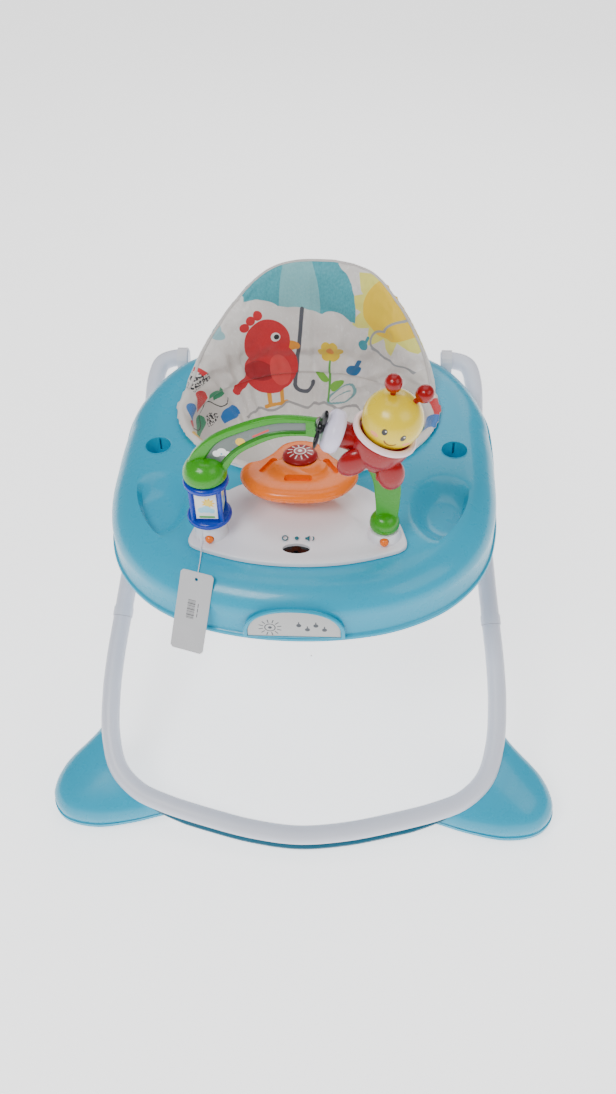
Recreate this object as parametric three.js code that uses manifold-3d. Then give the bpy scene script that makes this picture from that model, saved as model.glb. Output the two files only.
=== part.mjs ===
// A folding baby walker: an activity tray with a padded seat, carried by two bent-tube frames
// that cross like scissors. Millimetres, +Z up, +Y towards the seat back, +X to the right when
// the tray's front rim is looked at, and the origin on the floor at the middle of the footprint.
import * as THREE from "three";
import { mergeVertices } from "three/addons/utils/BufferGeometryUtils.js";
import Module from "manifold-3d";

const wasm = await Module();
wasm.setup();

// ---- Driving dimensions ----
const GAP = 0.4; // between pieces that touch
const DECK_Z = 410; // top of the tray
const SKIN = 3; // wall of the moulded shells
const RIM_DEEP_Z = 338; // the tray rim's lower edge at the front
const RIM_SHALLOW_Z = 375; // and at the back, where the folded frame has to pass
const RIM_SHOULDER_Z = 374; // where the rim's rounding turns into its upright face
const CROWN = 48; // width of the rim's rounding
const SEAT_Y = 95; // centre of the seat opening
const SEAT_HALF_WIDTH = 177;
const SEAT_HALF_LENGTH = 138;
const SEAT_TOP_Z = 560;
const WELL = { x: 178, y: -100, halfWidth: 46, halfLength: 64, depth: 15 };
const HOLE = { x: 195.5, y: 15, radius: 17, depth: 26 }; // a socket for a clip-on toy

const FRONT_TUBE = 12.5; // radius
const REAR_TUBE = 11; // radius
const TRAY_PIVOT = { y: 250, z: 385 }; // the front frame hangs from the tray here
const FRONT_BAR = { y: -341, z: 41 }; // middle of the front frame's floor bar
const FRONT_REACH = Math.hypot(TRAY_PIVOT.y - FRONT_BAR.y, TRAY_PIVOT.z - FRONT_BAR.z);
const CROSSING_REACH = 250; // from the tray pivot to where the frames cross
const CROSSING_X = 244.5;
const SEAM_REACH = 395; // where the front frame's tubes plug together
const SLIDE_BAR = { y: -138, z: 352, radius: 8, halfWidth: 178 };
const REAR_WHEEL = { x: 242, y: 293, radius: 24, halfWidth: 9 };
const CASTER = { x: 290, y: -283, trail: 9, radius: 20, halfWidth: 9 };
const SKIRT_Z = 14; // lower edge of the feet

const PANEL_Z = DECK_Z + 1.3; // underside of the toy panel
const PANEL_EDGE_Z = PANEL_Z + 6;
const COLUMN_Y = -76;
const WHEEL_Z = 458;
const WHEEL_TILT = -6; // degrees about X, which leans the wheel towards the child
const ARCH = { x: 104, y: -155, thickness: 8 };
const SOCKET_TOP_Z = { left: 441, right: 430 };
const SOCKET_SEAT_Z = PANEL_EDGE_Z - 2;
const PLANE = { x: 98, y: -184, z: 591, tilt: 22 }; // tilt in degrees, towards +X

// ---- Materials ----
function paint(color, roughness, metalness = 0) {
  return new THREE.MeshStandardMaterial({ color, roughness, metalness });
}
const aqua = paint("#00b4dc", 0.28);
const deepTeal = paint("#0b6f7d", 0.4);
const whiteGloss = paint("#eeeef4", 0.25);
const whiteCoat = paint("#e4e6f2", 0.3, 0.1);
const orange = paint("#ff7f1c", 0.3);
const red = paint("#d8161f", 0.28);
const green = paint("#4fb52c", 0.3);
const blue = paint("#1450c8", 0.3);
const yellow = paint("#f2c21c", 0.3);
const black = paint("#101114", 0.2);
const steel = paint("#b9bcc2", 0.3, 0.9);
const fabric = paint("#ddd8d4", 0.75);
const grey = paint("#a9abb0", 0.5);
const card = paint("#c9c6cf", 0.6);
const board = paint("#1d6b3a", 0.5);
const cell = paint("#c8a13a", 0.35, 0.4);

// ---- Geometry helpers ----
const vec = (x, y, z) => new THREE.Vector3(x, y, z);

// Positions only, with shared vertices and all faces pointing out.
function welded(geometry) {
  const bare = geometry.clone();
  bare.deleteAttribute("normal");
  bare.deleteAttribute("uv");
  const merged = mergeVertices(bare, 1e-3);
  const index = merged.index.array;
  const [a, b, c] = [vec(), vec(), vec()];
  let volume = 0;
  for (let i = 0; i < index.length; i += 3) {
    a.fromBufferAttribute(merged.attributes.position, index[i]);
    b.fromBufferAttribute(merged.attributes.position, index[i + 1]);
    c.fromBufferAttribute(merged.attributes.position, index[i + 2]);
    volume += a.dot(b.cross(c));
  }
  if (volume < 0) {
    for (let i = 0; i < index.length; i += 3) {
      [index[i + 1], index[i + 2]] = [index[i + 2], index[i + 1]];
    }
  }
  return merged;
}

function toSolid(geometry) {
  const merged = welded(geometry);
  const vertProperties = new Float32Array(merged.attributes.position.array);
  const triVerts = new Uint32Array(merged.index.array);
  return new wasm.Manifold(new wasm.Mesh({ numProp: 3, vertProperties, triVerts }));
}

function toGeometry(solid) {
  const mesh = solid.getMesh();
  const geometry = new THREE.BufferGeometry();
  geometry.setAttribute("position", new THREE.BufferAttribute(mesh.vertProperties, 3));
  return geometry.setIndex(new THREE.BufferAttribute(mesh.triVerts, 1));
}

function join(first, ...others) {
  return toGeometry(others.reduce((sum, other) => sum.add(toSolid(other)), toSolid(first)));
}

function cut(first, ...tools) {
  return toGeometry(tools.reduce((rest, tool) => rest.subtract(toSolid(tool)), toSolid(first)));
}

function common(first, second) {
  return toGeometry(toSolid(first).intersect(toSolid(second)));
}

// The largest of a solid's separate bodies: thin offcuts are dropped.
function largest(geometry) {
  const bodies = toSolid(geometry).decompose();
  return toGeometry(bodies.reduce((best, body) => (body.volume() > best.volume() ? body : best)));
}

function mirrored(geometry) {
  return welded(geometry.clone().scale(-1, 1, 1));
}

// A surface through rows of points. A closed skin joins its last row to its first one, and
// an open one gets a cap at each end.
function skin(rows, closed = false) {
  const count = rows[0].length;
  const points = rows.flat();
  const index = [];
  const last = closed ? rows.length : rows.length - 1;
  for (let row = 0; row < last; row++) {
    const here = row * count;
    const next = ((row + 1) % rows.length) * count;
    for (let i = 0; i < count; i++) {
      const j = (i + 1) % count;
      index.push(here + i, here + j, next + j, here + i, next + j, next + i);
    }
  }
  const cap = (row, flip) => {
    const middle = points.length;
    const sum = vec(0, 0, 0);
    rows[row].forEach((point) => sum.add(point));
    points.push(sum.divideScalar(count));
    for (let i = 0; i < count; i++) {
      const pair = [row * count + i, row * count + ((i + 1) % count)];
      index.push(middle, pair[flip ? 1 : 0], pair[flip ? 0 : 1]);
    }
  };
  if (!closed) {
    cap(0, true);
    cap(rows.length - 1, false);
  }
  const geometry = new THREE.BufferGeometry().setFromPoints(points);
  return welded(geometry.setIndex(index));
}

function circle(radius, sides) {
  const points = [];
  for (let i = 0; i < sides; i++) {
    const angle = (2 * Math.PI * (i + 0.5)) / sides;
    points.push(new THREE.Vector2(radius * Math.cos(angle), radius * Math.sin(angle)));
  }
  return points;
}

function curve(points, closed = false) {
  return new THREE.CatmullRomCurve3(points, closed, "centripetal");
}

// A bar of the given section, swept along a curve.
function sweep(section, path, steps) {
  const options = { steps, bevelEnabled: false, extrudePath: path };
  return welded(new THREE.ExtrudeGeometry(new THREE.Shape(section), options));
}

// A turned piece about +Z: pairs of radius and height that start and end on the axis.
function turned(profile, segments = 20) {
  const points = profile.map(([radius, height]) => new THREE.Vector2(radius, height));
  return welded(new THREE.LatheGeometry(points, segments).rotateX(Math.PI / 2));
}

// A plate that lies in XY, from z = 0 up to its thickness.
function plate(points, thickness, bevel = 0) {
  const outline = new THREE.Shape(points.map(([x, y]) => new THREE.Vector2(x, y)));
  const options = {
    depth: thickness - 2 * bevel,
    bevelEnabled: bevel > 0,
    bevelThickness: bevel,
    bevelSize: bevel,
    bevelOffset: -bevel,
    bevelSegments: 2,
  };
  return welded(new THREE.ExtrudeGeometry(outline, options).translate(0, 0, bevel));
}

// An outline moved inwards by a distance, or outwards by a negative one.
function inset(points, distance) {
  const at = (i) => new THREE.Vector2(...points[(i + points.length) % points.length]);
  const area = points.reduce((sum, _, i) => sum + at(i).cross(at(i + 1)), 0);
  return points.map((_, i) => {
    const along = at(i + 1).sub(at(i - 1)).setLength(distance * Math.sign(area));
    return [at(i).x - along.y, at(i).y + along.x];
  });
}

function box(width, length, height, x, y, z) {
  return new THREE.BoxGeometry(width, length, height).translate(x, y, z);
}

function ball(radius, x, y, z, across = 16, down = 10) {
  return welded(new THREE.SphereGeometry(radius, across, down).rotateX(Math.PI / 2))
    .translate(x, y, z);
}

// A bar along +X, centred on the given point.
function rod(radius, length, x, y, z, sides = 16) {
  const bar = new THREE.CylinderGeometry(radius, radius, length, sides);
  return bar.rotateZ(Math.PI / 2).translate(x, y, z);
}

const smooth = (value, low, high) => THREE.MathUtils.smoothstep(value, low, high);

// ---- Scene graph ----
const walker = new THREE.Group();
function group(parent, x = 0, y = 0, z = 0) {
  const node = new THREE.Group();
  node.position.set(x, y, z);
  parent.add(node);
  return node;
}
function piece(name, geometry, material, parent = walker) {
  const mesh = new THREE.Mesh(welded(geometry), material);
  mesh.name = name;
  parent.add(mesh);
  return mesh;
}
// A left and a right copy of a piece that was drawn on the right.
function pair(name, geometry, material, parent = walker) {
  piece(name + "_right", geometry, material, parent);
  piece(name + "_left", mirrored(geometry), material, parent);
}

// ---- Tray ----
// Half of the tray's outline, from the middle of the front to the middle of the back.
const TRAY_HALF = [
  [0, -256], [64, -251], [122, -236], [176, -206], [213, -167], [235, -125], [247, -72],
  [250, -5], [249, 60], [241, 120], [220, 180], [190, 225], [148, 254], [84, 268], [0, 271],
];
const trayLoop = curve(
  [...TRAY_HALF, ...TRAY_HALF.slice(1, -1).reverse().map(([x, y]) => [-x, y])]
    .map(([x, y]) => vec(x, y, 0)),
  true,
).getPoints(240);

// Distance from the seat's centre to the tray's outline, in a given direction.
function trayReach(angle) {
  const dx = Math.cos(angle);
  const dy = Math.sin(angle);
  for (let i = 0; i + 1 < trayLoop.length; i++) {
    const [a, b] = [trayLoop[i], trayLoop[i + 1]];
    const [ax, ay, bx, by] = [a.x, a.y - SEAT_Y, b.x, b.y - SEAT_Y];
    const sideA = ax * dy - ay * dx;
    const sideB = bx * dy - by * dx;
    const share = sideA / (sideA - sideB);
    const reach = (ax + share * (bx - ax)) * dx + (ay + share * (by - ay)) * dy;
    if (sideA * sideB <= 0 && reach > 0) return reach;
  }
  return 0;
}
function seatReach(angle) {
  return 1 / Math.hypot(Math.cos(angle) / SEAT_HALF_WIDTH, Math.sin(angle) / SEAT_HALF_LENGTH);
}
const aroundSeat = (angle, reach, z) =>
  vec(reach * Math.cos(angle), SEAT_Y + reach * Math.sin(angle), z);

function wellDepth(x, y) {
  const across = (Math.abs(x) - WELL.x) / WELL.halfWidth;
  const along = (y - WELL.y) / WELL.halfLength;
  const inside = Math.max(0, 1 - across * across - along * along);
  return WELL.depth * Math.min(1, 1.6 * inside);
}
const rimBottom = (y) => THREE.MathUtils.lerp(RIM_DEEP_Z, RIM_SHALLOW_Z, smooth(y, -20, 112));

// One slice through the tray's shell: over the deck and down the rim, then back underneath.
function traySection(angle) {
  const inner = seatReach(angle);
  const outer = trayReach(angle);
  const crown = Math.min(CROWN, 0.6 * (outer - inner));
  const bottom = rimBottom(aroundSeat(angle, outer, 0).y);
  const shoulder = Math.max(RIM_SHOULDER_Z, bottom + 8);
  const deckEnd = outer - crown;
  const deckZ = (reach, wall) => {
    const place = aroundSeat(angle, reach, 0);
    return DECK_Z - wall - wellDepth(place.x, place.y);
  };
  const over = (wall) => {
    const points = [[inner, DECK_Z - wall - (wall ? 0 : 1)]];
    for (const share of [0.08, 0.3, 0.53, 0.76, 1]) {
      const reach = inner + share * (deckEnd - inner);
      points.push([reach, deckZ(reach, wall)]);
    }
    for (const degrees of [62, 32, 0]) {
      const turn = THREE.MathUtils.degToRad(degrees);
      const reach = deckEnd + (crown - wall) * Math.cos(turn);
      points.push([reach, shoulder + (DECK_Z - wall - shoulder) * Math.sin(turn)]);
    }
    return points;
  };
  const face = [[outer - 1, bottom + 7], [outer + SKIN, bottom + 5], [outer + SKIN, bottom]];
  const profile = [...over(0), ...face, [outer - 1 - SKIN, bottom], ...over(SKIN).reverse()];
  return profile.map(([reach, z]) => aroundSeat(angle, reach, z));
}
function trayShell() {
  const slices = 40;
  const rows = [];
  for (let i = 0; i < slices; i++) {
    rows.push(traySection((2 * Math.PI * (i + 0.5)) / slices));
  }
  const stationWell = box(203, 93, 40, 0, -116, DECK_Z);
  const cup = (radius, bottom, top) => [-1, 1].map((side) =>
    turned([[0, bottom], [radius, bottom], [radius, top], [0, top]], 18)
      .translate(side * HOLE.x, HOLE.y, DECK_Z));
  const sockets = cup(HOLE.radius + SKIN, -HOLE.depth - SKIN, -1);
  return cut(join(skin(rows, true), ...sockets), stationWell, ...cup(HOLE.radius, -HOLE.depth, 30));
}
piece("tray_shell", trayShell(), aqua);

// The plastic ring that lines the seat opening, with a lip over the deck.
function seatRing() {
  const rows = [];
  for (let i = 0; i < 36; i++) {
    const angle = (2 * Math.PI * i) / 36;
    const edge = seatReach(angle);
    const profile = [
      [-7, 386], [-1.5, 386], [-1.5, DECK_Z + 0.6], [8, DECK_Z + 0.6], [8, DECK_Z + 2.5],
      [0, DECK_Z + 4.5], [-7, DECK_Z + 2],
    ];
    rows.push(profile.map(([offset, z]) => aroundSeat(angle, edge + offset, z)));
  }
  return skin(rows, true);
}
piece("seat_ring", seatRing(), whiteGloss);

// An arched badge with a raised edge, fixed to the front of the rim.
function badgePlate() {
  const outline = [[58, 0], [58, 14], [50, 26], [34, 35], [14, 39.5]];
  const half = outline.map(([x, y]) => [-x, y]).reverse();
  const inset = [...outline, ...half].map(([x, y]) => [x * 0.93, 2.6 + y * 0.88]);
  const blank = plate([...outline, ...half], 5, 1);
  return cut(blank, plate(inset, 3).translate(0, 0, 3.6)).rotateX(Math.PI / 2)
    .translate(0, -256.6, RIM_DEEP_Z + 9);
}
piece("badge_plate", badgePlate(), whiteGloss);

// ---- Seat ----
// A wall that stands on the seat ring and follows it, higher towards the back.
function seatWall(from, to, slices, insideOffset, outsideOffset, bottom, topOf) {
  const rows = [];
  for (let i = 0; i <= slices; i++) {
    const angle = THREE.MathUtils.degToRad(from + ((to - from) * i) / slices);
    const top = topOf(angle);
    const lean = 0.05 * (top - bottom);
    const edge = seatReach(angle);
    const middle = (insideOffset + outsideOffset) / 2;
    const round = Math.min(2, (outsideOffset - insideOffset) / 4);
    const profile = [
      [insideOffset, bottom], [outsideOffset, bottom],
      [outsideOffset + lean, top - 0.3 * (top - bottom)], [outsideOffset + lean - round, top - 4],
      [middle + lean, top], [insideOffset + lean + round, top - 4],
      [insideOffset + lean, top - 0.3 * (top - bottom)],
    ];
    rows.push(profile.map(([offset, z]) => aroundSeat(angle, edge + offset, z)));
  }
  return skin(rows);
}
const PAD_BOTTOM_Z = DECK_Z + 5.2;
function padTop(angle) {
  const fall = Math.min(0.94, Math.abs(1.02 * Math.cos(angle)) ** 2.4);
  return SEAT_TOP_Z - fall * (SEAT_TOP_Z - PAD_BOTTOM_Z);
}
const boardTop = (angle) => padTop(angle) - 20;
const stay = seatWall(36, 144, 12, -0.5, 2.5, PAD_BOTTOM_Z, boardTop);
const stayPocket = seatWall(35.5, 144.5, 12, -1, 3, PAD_BOTTOM_Z - 2, (a) => boardTop(a) + 1);
piece("seat_back_board", stay, grey);
piece("seat_back_pad", cut(seatWall(13, 167, 26, -11, 13, PAD_BOTTOM_Z, padTop), stayPocket), fabric);

// The sling that hangs from the ring, with an opening for each leg.
function seatBag() {
  const wall = 4;
  const levels = [
    [385, 167, 129], [340, 160, 124], [285, 143, 112], [235, 116, 92], [200, 82, 66], [182, 44, 36],
  ];
  const rings = (inset, drop) => levels.map(([z, halfWidth, halfLength]) => {
    const ring = [];
    for (let i = 0; i < 20; i++) {
      const angle = (2 * Math.PI * i) / 20;
      const x = (halfWidth - inset) * Math.cos(angle);
      ring.push(vec(x, SEAT_Y + (halfLength - inset) * Math.sin(angle), z + drop));
    }
    return ring;
  }).reverse();
  const legs = [-1, 1].map((side) =>
    ball(1, 0, 0, 0, 12, 6).scale(46, 60, 46).translate(side * 92, 22, 226));
  return cut(skin(rings(0, 0)), skin(rings(wall, wall + 1)), ...legs);
}
piece("seat_bag", seatBag(), fabric);

// ---- Frames ----
// A place on the front frame: sideways, and along its slope from the tray pivot to the floor.
function onFrontSlope(x, reach, above = 0) {
  const dy = (FRONT_BAR.y - TRAY_PIVOT.y) / FRONT_REACH;
  const dz = (FRONT_BAR.z - TRAY_PIVOT.z) / FRONT_REACH;
  return vec(x, TRAY_PIVOT.y + reach * dy - above * dz, TRAY_PIVOT.z + reach * dz + above * dy * -1);
}
const LEG_LINE = [
  [187, 0], [208, 0], [226, 8], [234, 32], [236, 100], [240, 170], [CROSSING_X, CROSSING_REACH],
  [251, 330], [257, SEAM_REACH],
];
const BAR_LINE = [
  [257, SEAM_REACH + GAP], [262, 450], [264, 505], [260, 560], [246, 604], [218, 632],
  [184, 647], [120, 665], [60, 678], [0, FRONT_REACH],
];
const alongLine = (line, above = 0) => line.map(([x, reach]) => onFrontSlope(x, reach, above));
const mirrorPath = (points) => points.slice(0, -1).reverse().map((p) => vec(-p.x, p.y, p.z));
const wholeWidth = (points) => curve([...points, ...mirrorPath(points)]);
const legCurve = curve(alongLine(LEG_LINE));
const crossing = onFrontSlope(CROSSING_X, CROSSING_REACH);
const rivetHole = rod(4.6, 90, 232, crossing.y, crossing.z, 10);

pair("leg_tube", cut(sweep(circle(FRONT_TUBE, 10), legCurve, 18), rivetHole), whiteCoat);
const barCurve = wholeWidth(alongLine(BAR_LINE));
piece("front_frame_tube", sweep(circle(FRONT_TUBE, 10), barCurve, 42), whiteCoat);

// A soft strip under the floor bar, which grips when the walker reaches the edge of a step.
const stripLine = [[182, 648], [120, 665], [60, 678], [0, FRONT_REACH]];
function underBar(points, drop) {
  return wholeWidth(points.map((p) => vec(p.x, p.y - 1, p.z - drop)));
}
piece("front_grip_strip",
  sweep(circle(6.5, 8), underBar(alongLine(stripLine), FRONT_TUBE + 7.2), 18), deepTeal);

const REAR_LINE = [
  [158, -152, 359.8], [165, SLIDE_BAR.y, SLIDE_BAR.z], [188, -55, 306.2],
  [212, crossing.y, crossing.z], [214, 120, crossing.z - 62], [216, 220, crossing.z - 134.5],
  [214, 270, 84], [204, 297, 64], [180, 314, 52], [120, 326, 43], [60, 331, 39.5], [0, 332, 38.5],
].map(([x, y, z]) => vec(x, y, z));
const rearCurve = wholeWidth(REAR_LINE);
const barHole = rod(SLIDE_BAR.radius + GAP, 420, 0, SLIDE_BAR.y, SLIDE_BAR.z, 12);
const rearTube = sweep(circle(REAR_TUBE, 8), rearCurve, 54);
piece("rear_frame_tube", cut(rearTube, barHole, rivetHole, mirrored(rivetHole)), whiteCoat);
piece("slide_bar",
  rod(SLIDE_BAR.radius, 2 * SLIDE_BAR.halfWidth, 0, SLIDE_BAR.y, SLIDE_BAR.z, 12), steel);

// A rivet through both tubes, with a collar between them.
const rivet = turned([
  [0, 194], [8, 195], [8, 199.4], [4, 199.4], [4, 224.5], [8, 224.5], [8, 230.8],
  [4, 230.8], [4, 258.4], [8, 258.4], [7, 262], [0, 262.5],
], 10).rotateY(Math.PI / 2).translate(0, crossing.y, crossing.z);
pair("frame_rivet", rivet, steel);

// ---- Under the tray ----
// The socket that the front frame's turned-in end hinges in, on a tab under the rim.
function pivotBracket() {
  const barrel = rod(16, 15, 195.5, TRAY_PIVOT.y, TRAY_PIVOT.z, 16);
  const tab = box(30, 64, 7, 188, TRAY_PIVOT.y - 46, RIM_SHALLOW_Z - 4.2);
  const heel = box(15, 30, 12, 195.5, TRAY_PIVOT.y, RIM_SHALLOW_Z - 1.7);
  const bore = rod(FRONT_TUBE + 2 * GAP, 40, 200, TRAY_PIVOT.y, TRAY_PIVOT.z, 16);
  return cut(join(barrel, tab, heel), bore);
}
pair("pivot_bracket", pivotBracket(), whiteGloss);

// A slotted plate that the rear frame's bar slides in, with a notch for each tray height.
function heightTrack() {
  const outline = [[-212, 338], [-112, 338], [-112, 406], [-180, 406], [-212, 395]];
  const slot = [[-200, 342.5], [-127, 342.5], [-127, 366]];
  for (const notch of [-140, -158, -176]) {
    slot.push([notch + 8, 366], [notch + 3, 361.5], [notch - 3, 361.5], [notch - 8, 366]);
  }
  slot.push([-200, 366]);
  const latchSlot = box(17, 7, 20, -200, 376, 3);
  const upright = cut(plate(outline, 6), plate(slot, 10).translate(0, 0, -2), latchSlot);
  return upright.rotateX(Math.PI / 2).rotateZ(Math.PI / 2).translate(118, 0, 0);
}
pair("height_track", heightTrack(), aqua);

// The squeeze lever that frees the bar, on a crosspiece whose ends run in the plates.
const latch = join(
  box(256, 6, 6, 0, -204, 376),
  box(92, 4, 38, 0, -204, 358),
  plate([[-46, -217], [46, -217], [46, -202], [-46, -202]], 5, 1.5).translate(0, 0, 336),
);
piece("height_latch", latch, orange);

// ---- Feet and wheels ----
// A flared shell outside a tube's corner: its upper edge follows the tube, and its skirt
// swings out over the wheel.
function footShell(ridge, skirt, inner, tube, wheelRoom) {
  const outside = 10;
  const inside = 4;
  const at = (points, count) => curve(points.map(([x, y, z = 0]) => vec(x, y, z)))
    .getSpacedPoints(count - 1);
  const levels = [
    [0, 0], [0.01, 0.26], [0.1, 0.45], [0.3, 0.6], [0.6, 0.77], [1, 1],
  ];
  const body = (inset, drop, sunk) => {
    const skirtRow = at(skirt, outside);
    const ridgeRow = at(ridge, outside);
    const innerRow = at(inner, inside + 2).slice(1, -1);
    const ridgeBack = at([...ridge].reverse(), inside + 2).slice(1, -1);
    const centre = skirtRow.reduce((sum, p) => sum.add(p), vec(0, 0, 0)).divideScalar(outside);
    const shrink = (p) => {
      const out = vec(p.x - centre.x, p.y - centre.y, 0);
      return p.clone().sub(out.normalize().multiplyScalar(inset));
    };
    return skin(levels.map(([share, rise], level) => {
      const mix = (low, high) => {
        const start = shrink(low);
        const z = THREE.MathUtils.lerp(low.z, high.z - drop, rise);
        const x = THREE.MathUtils.lerp(start.x, high.x, share);
        const y = THREE.MathUtils.lerp(start.y, high.y, share);
        return vec(x, y, level === 0 ? low.z - sunk : z);
      };
      return [
        ...skirtRow.map((p, i) => mix(p, ridgeRow[i])),
        ...innerRow.map((p, i) => mix(p, ridgeBack[i])),
      ];
    }));
  };
  const outer = body(0, 0, 0);
  const shell = cut(outer, body(SKIN, 5, 8));
  return largest(cut(join(shell, common(outer, wheelRoom.boss)), tube, ...wheelRoom.cuts));
}

function frontFoot() {
  const ridge = [[184, 647], [218, 632], [246, 604], [260, 560], [263, 522]]
    .map(([x, reach]) => onFrontSlope(x, reach, 5)).map((p) => [p.x, p.y, p.z]);
  const skirt = [
    [186, -312, 32], [230, -319, 22], [280, -322, 15], [322, -311, SKIRT_Z], [341, -284, SKIRT_Z],
    [334, -250, 16], [303, -222, 20], [272, -210, 24],
  ];
  const inner = [[268, -210, 26], [250, -238, 28], [226, -272, 30], [186, -306, 33]];
  const boss = turned([[0, 50], [10, 50], [10, 110], [0, 110]], 14)
    .translate(CASTER.x, CASTER.y, 0);
  const bore = turned([[0, 30], [4.5, 30], [4.5, 66], [0, 66]], 12)
    .translate(CASTER.x, CASTER.y, 0);
  const tube = sweep(circle(FRONT_TUBE + 2 * GAP, 10), barCurve, 42);
  return footShell(ridge, skirt, inner, tube, { boss, cuts: [bore] });
}
pair("front_foot", frontFoot(), aqua);

function rearFoot() {
  const ridge = [[180, 314, 58], [204, 297, 70], [214, 270, 90], [216, 250, 106]];
  const skirt = [
    [176, 326, 22], [196, 344, 16], [228, 354.3, SKIRT_Z], [258, 345, SKIRT_Z], [272, 318, SKIRT_Z],
    [272, 280, SKIRT_Z], [262, 252, SKIRT_Z], [236, 240, 18],
  ];
  const inner = [[212, 240, 20], [202, 262, 20], [192, 286, 20], [172, 312, 22]];
  const boss = box(6, 26, 40, 227.5 + 3 - 3.5, REAR_WHEEL.y, 40);
  const axleHole = rod(3.5, 60, REAR_WHEEL.x, REAR_WHEEL.y, REAR_WHEEL.radius, 12);
  const tube = sweep(circle(REAR_TUBE + 2 * GAP, 8), rearCurve, 54);
  const wheelArch = rod(REAR_WHEEL.radius + 4, 24, REAR_WHEEL.x, REAR_WHEEL.y, REAR_WHEEL.radius);
  return footShell(ridge, skirt, inner, tube, { boss, cuts: [axleHole, wheelArch] });
}
pair("rear_foot", rearFoot(), aqua);

function wheel(radius, halfWidth, bore) {
  const profile = [
    [bore, -halfWidth], [radius - 3, -halfWidth], [radius, -halfWidth + 3],
    [radius, halfWidth - 3], [radius - 3, halfWidth], [bore, halfWidth], [bore, -halfWidth],
  ];
  const points = profile.map(([r, z]) => new THREE.Vector2(r, z));
  return welded(new THREE.LatheGeometry(points, 18)).rotateZ(Math.PI / 2);
}

function casterFork() {
  const axleY = -CASTER.trail;
  const cheek = plate([
    [-14, CASTER.radius + 26], [14, CASTER.radius + 26], [8, CASTER.radius],
    [axleY + 7, CASTER.radius - 7], [axleY - 7, CASTER.radius - 7], [axleY - 9, CASTER.radius],
  ], 2.6).rotateX(Math.PI / 2).rotateZ(Math.PI / 2);
  const left = cheek.clone().translate(-12.4, 0, 0);
  const right = cheek.clone().translate(9.8, 0, 0);
  const stem = turned([[0, 42.5], [14, 42.5], [15, 48], [4, 48], [4, 63], [0, 64]], 12);
  const bore = rod(2.4, 40, 0, axleY, CASTER.radius, 10);
  return cut(join(left, right, stem), bore);
}
for (const [side, sign] of [["left", -1], ["right", 1]]) {
  const caster = group(walker, sign * CASTER.x, CASTER.y, 0);
  piece("caster_fork_" + side, casterFork(), deepTeal, caster);
  const hub = group(caster, 0, -CASTER.trail, CASTER.radius);
  piece("caster_wheel_" + side, wheel(CASTER.radius, CASTER.halfWidth, 2.8), deepTeal, hub);
  piece("caster_axle_" + side, rod(2, 26, 0, 0, 0, 10), steel, hub);
  const rearHub = group(walker, sign * REAR_WHEEL.x, REAR_WHEEL.y, REAR_WHEEL.radius);
  piece("rear_wheel_" + side, wheel(REAR_WHEEL.radius, REAR_WHEEL.halfWidth, 3.4), deepTeal, rearHub);
  piece("rear_axle_" + side, rod(2.8, 40, 0, 0, 0, 12), steel, rearHub);
}

// ---- Toy station ----
const PANEL_HALF = [
  [0, -206], [50, -202], [96, -190], [126, -177], [131, -170], [128, -150], [117, -118],
  [99, -86], [70, -64], [36, -55], [0, -52],
];
const panelLoop = curve(
  [...PANEL_HALF, ...PANEL_HALF.slice(1, -1).reverse().map(([x, y]) => [-x, y])]
    .map(([x, y]) => vec(x, y, 0)),
  true,
).getPoints(28).slice(0, -1);

function panelRing(scale, z) {
  const centreY = THREE.MathUtils.lerp(COLUMN_Y, -125, smooth(scale, 0.2, 0.95));
  return panelLoop.map((p) => vec(p.x * scale, centreY + (p.y - centreY) * scale, z));
}
const SWITCH_Y = -183;
function pill(halfWidth, radius, thickness) {
  const points = [];
  for (let i = 0; i <= 8; i++) {
    const angle = -Math.PI / 2 + (Math.PI * i) / 8;
    points.push([halfWidth - radius + radius * Math.cos(angle), radius * Math.sin(angle)]);
  }
  return plate([...points, ...points.map(([x, y]) => [-x, -y])], thickness);
}
function toyPanel() {
  const dome = skin([
    panelRing(1, PANEL_Z), panelRing(1, PANEL_EDGE_Z - 1.5), panelRing(0.985, PANEL_EDGE_Z),
    panelRing(0.75, PANEL_EDGE_Z + 1.5), panelRing(0.5, PANEL_EDGE_Z + 7),
    panelRing(0.26, PANEL_EDGE_Z + 13), panelRing(0.16, PANEL_EDGE_Z + 14),
  ]);
  const room = box(164, 76, 8, 0, -116, PANEL_Z);
  const recess = pill(14.5, 6.5, 20).translate(0, SWITCH_Y, PANEL_EDGE_Z - 4);
  const columnHole = turned([[0, -20], [8.4, -20], [8.4, 40], [0, 40]], 16)
    .translate(0, COLUMN_Y, PANEL_Z);
  const seats = [-1, 1].map((side) =>
    turned([[0, SOCKET_SEAT_Z - GAP], [21.5, SOCKET_SEAT_Z - GAP], [21.5, 440], [0, 440]], 16)
      .translate(side * ARCH.x, ARCH.y, 0));
  return cut(dome, room, recess, columnHole, ...seats);
}
piece("toy_panel", toyPanel(), whiteGloss);

function toyBase() {
  const outer = box(198, 88, 25, 0, -116, DECK_Z - 12.2);
  const inner = box(193, 83, 25, 0, -116, DECK_Z - 9.7);
  const hatch = box(72, 40, 10, 40, -116, DECK_Z - 24);
  return cut(outer, inner, hatch);
}
piece("toy_base", toyBase(), whiteGloss);
piece("battery_door", box(84, 50, 3, 40, -116, DECK_Z - 26.6), whiteGloss);
piece("circuit_board", box(62, 56, 1.6, -20, -118, DECK_Z - 19), board);
piece("speaker", turned([[0, 0], [20, 0], [20, 4], [12, 8], [12, 12], [0, 12]], 18)
  .translate(-72, -116, DECK_Z - 20), black);
[-127, -109].forEach((y, i) => {
  piece("battery_" + (i + 1), rod(7.2, 50, 44, y, DECK_Z - 14, 14), cell);
});

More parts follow.
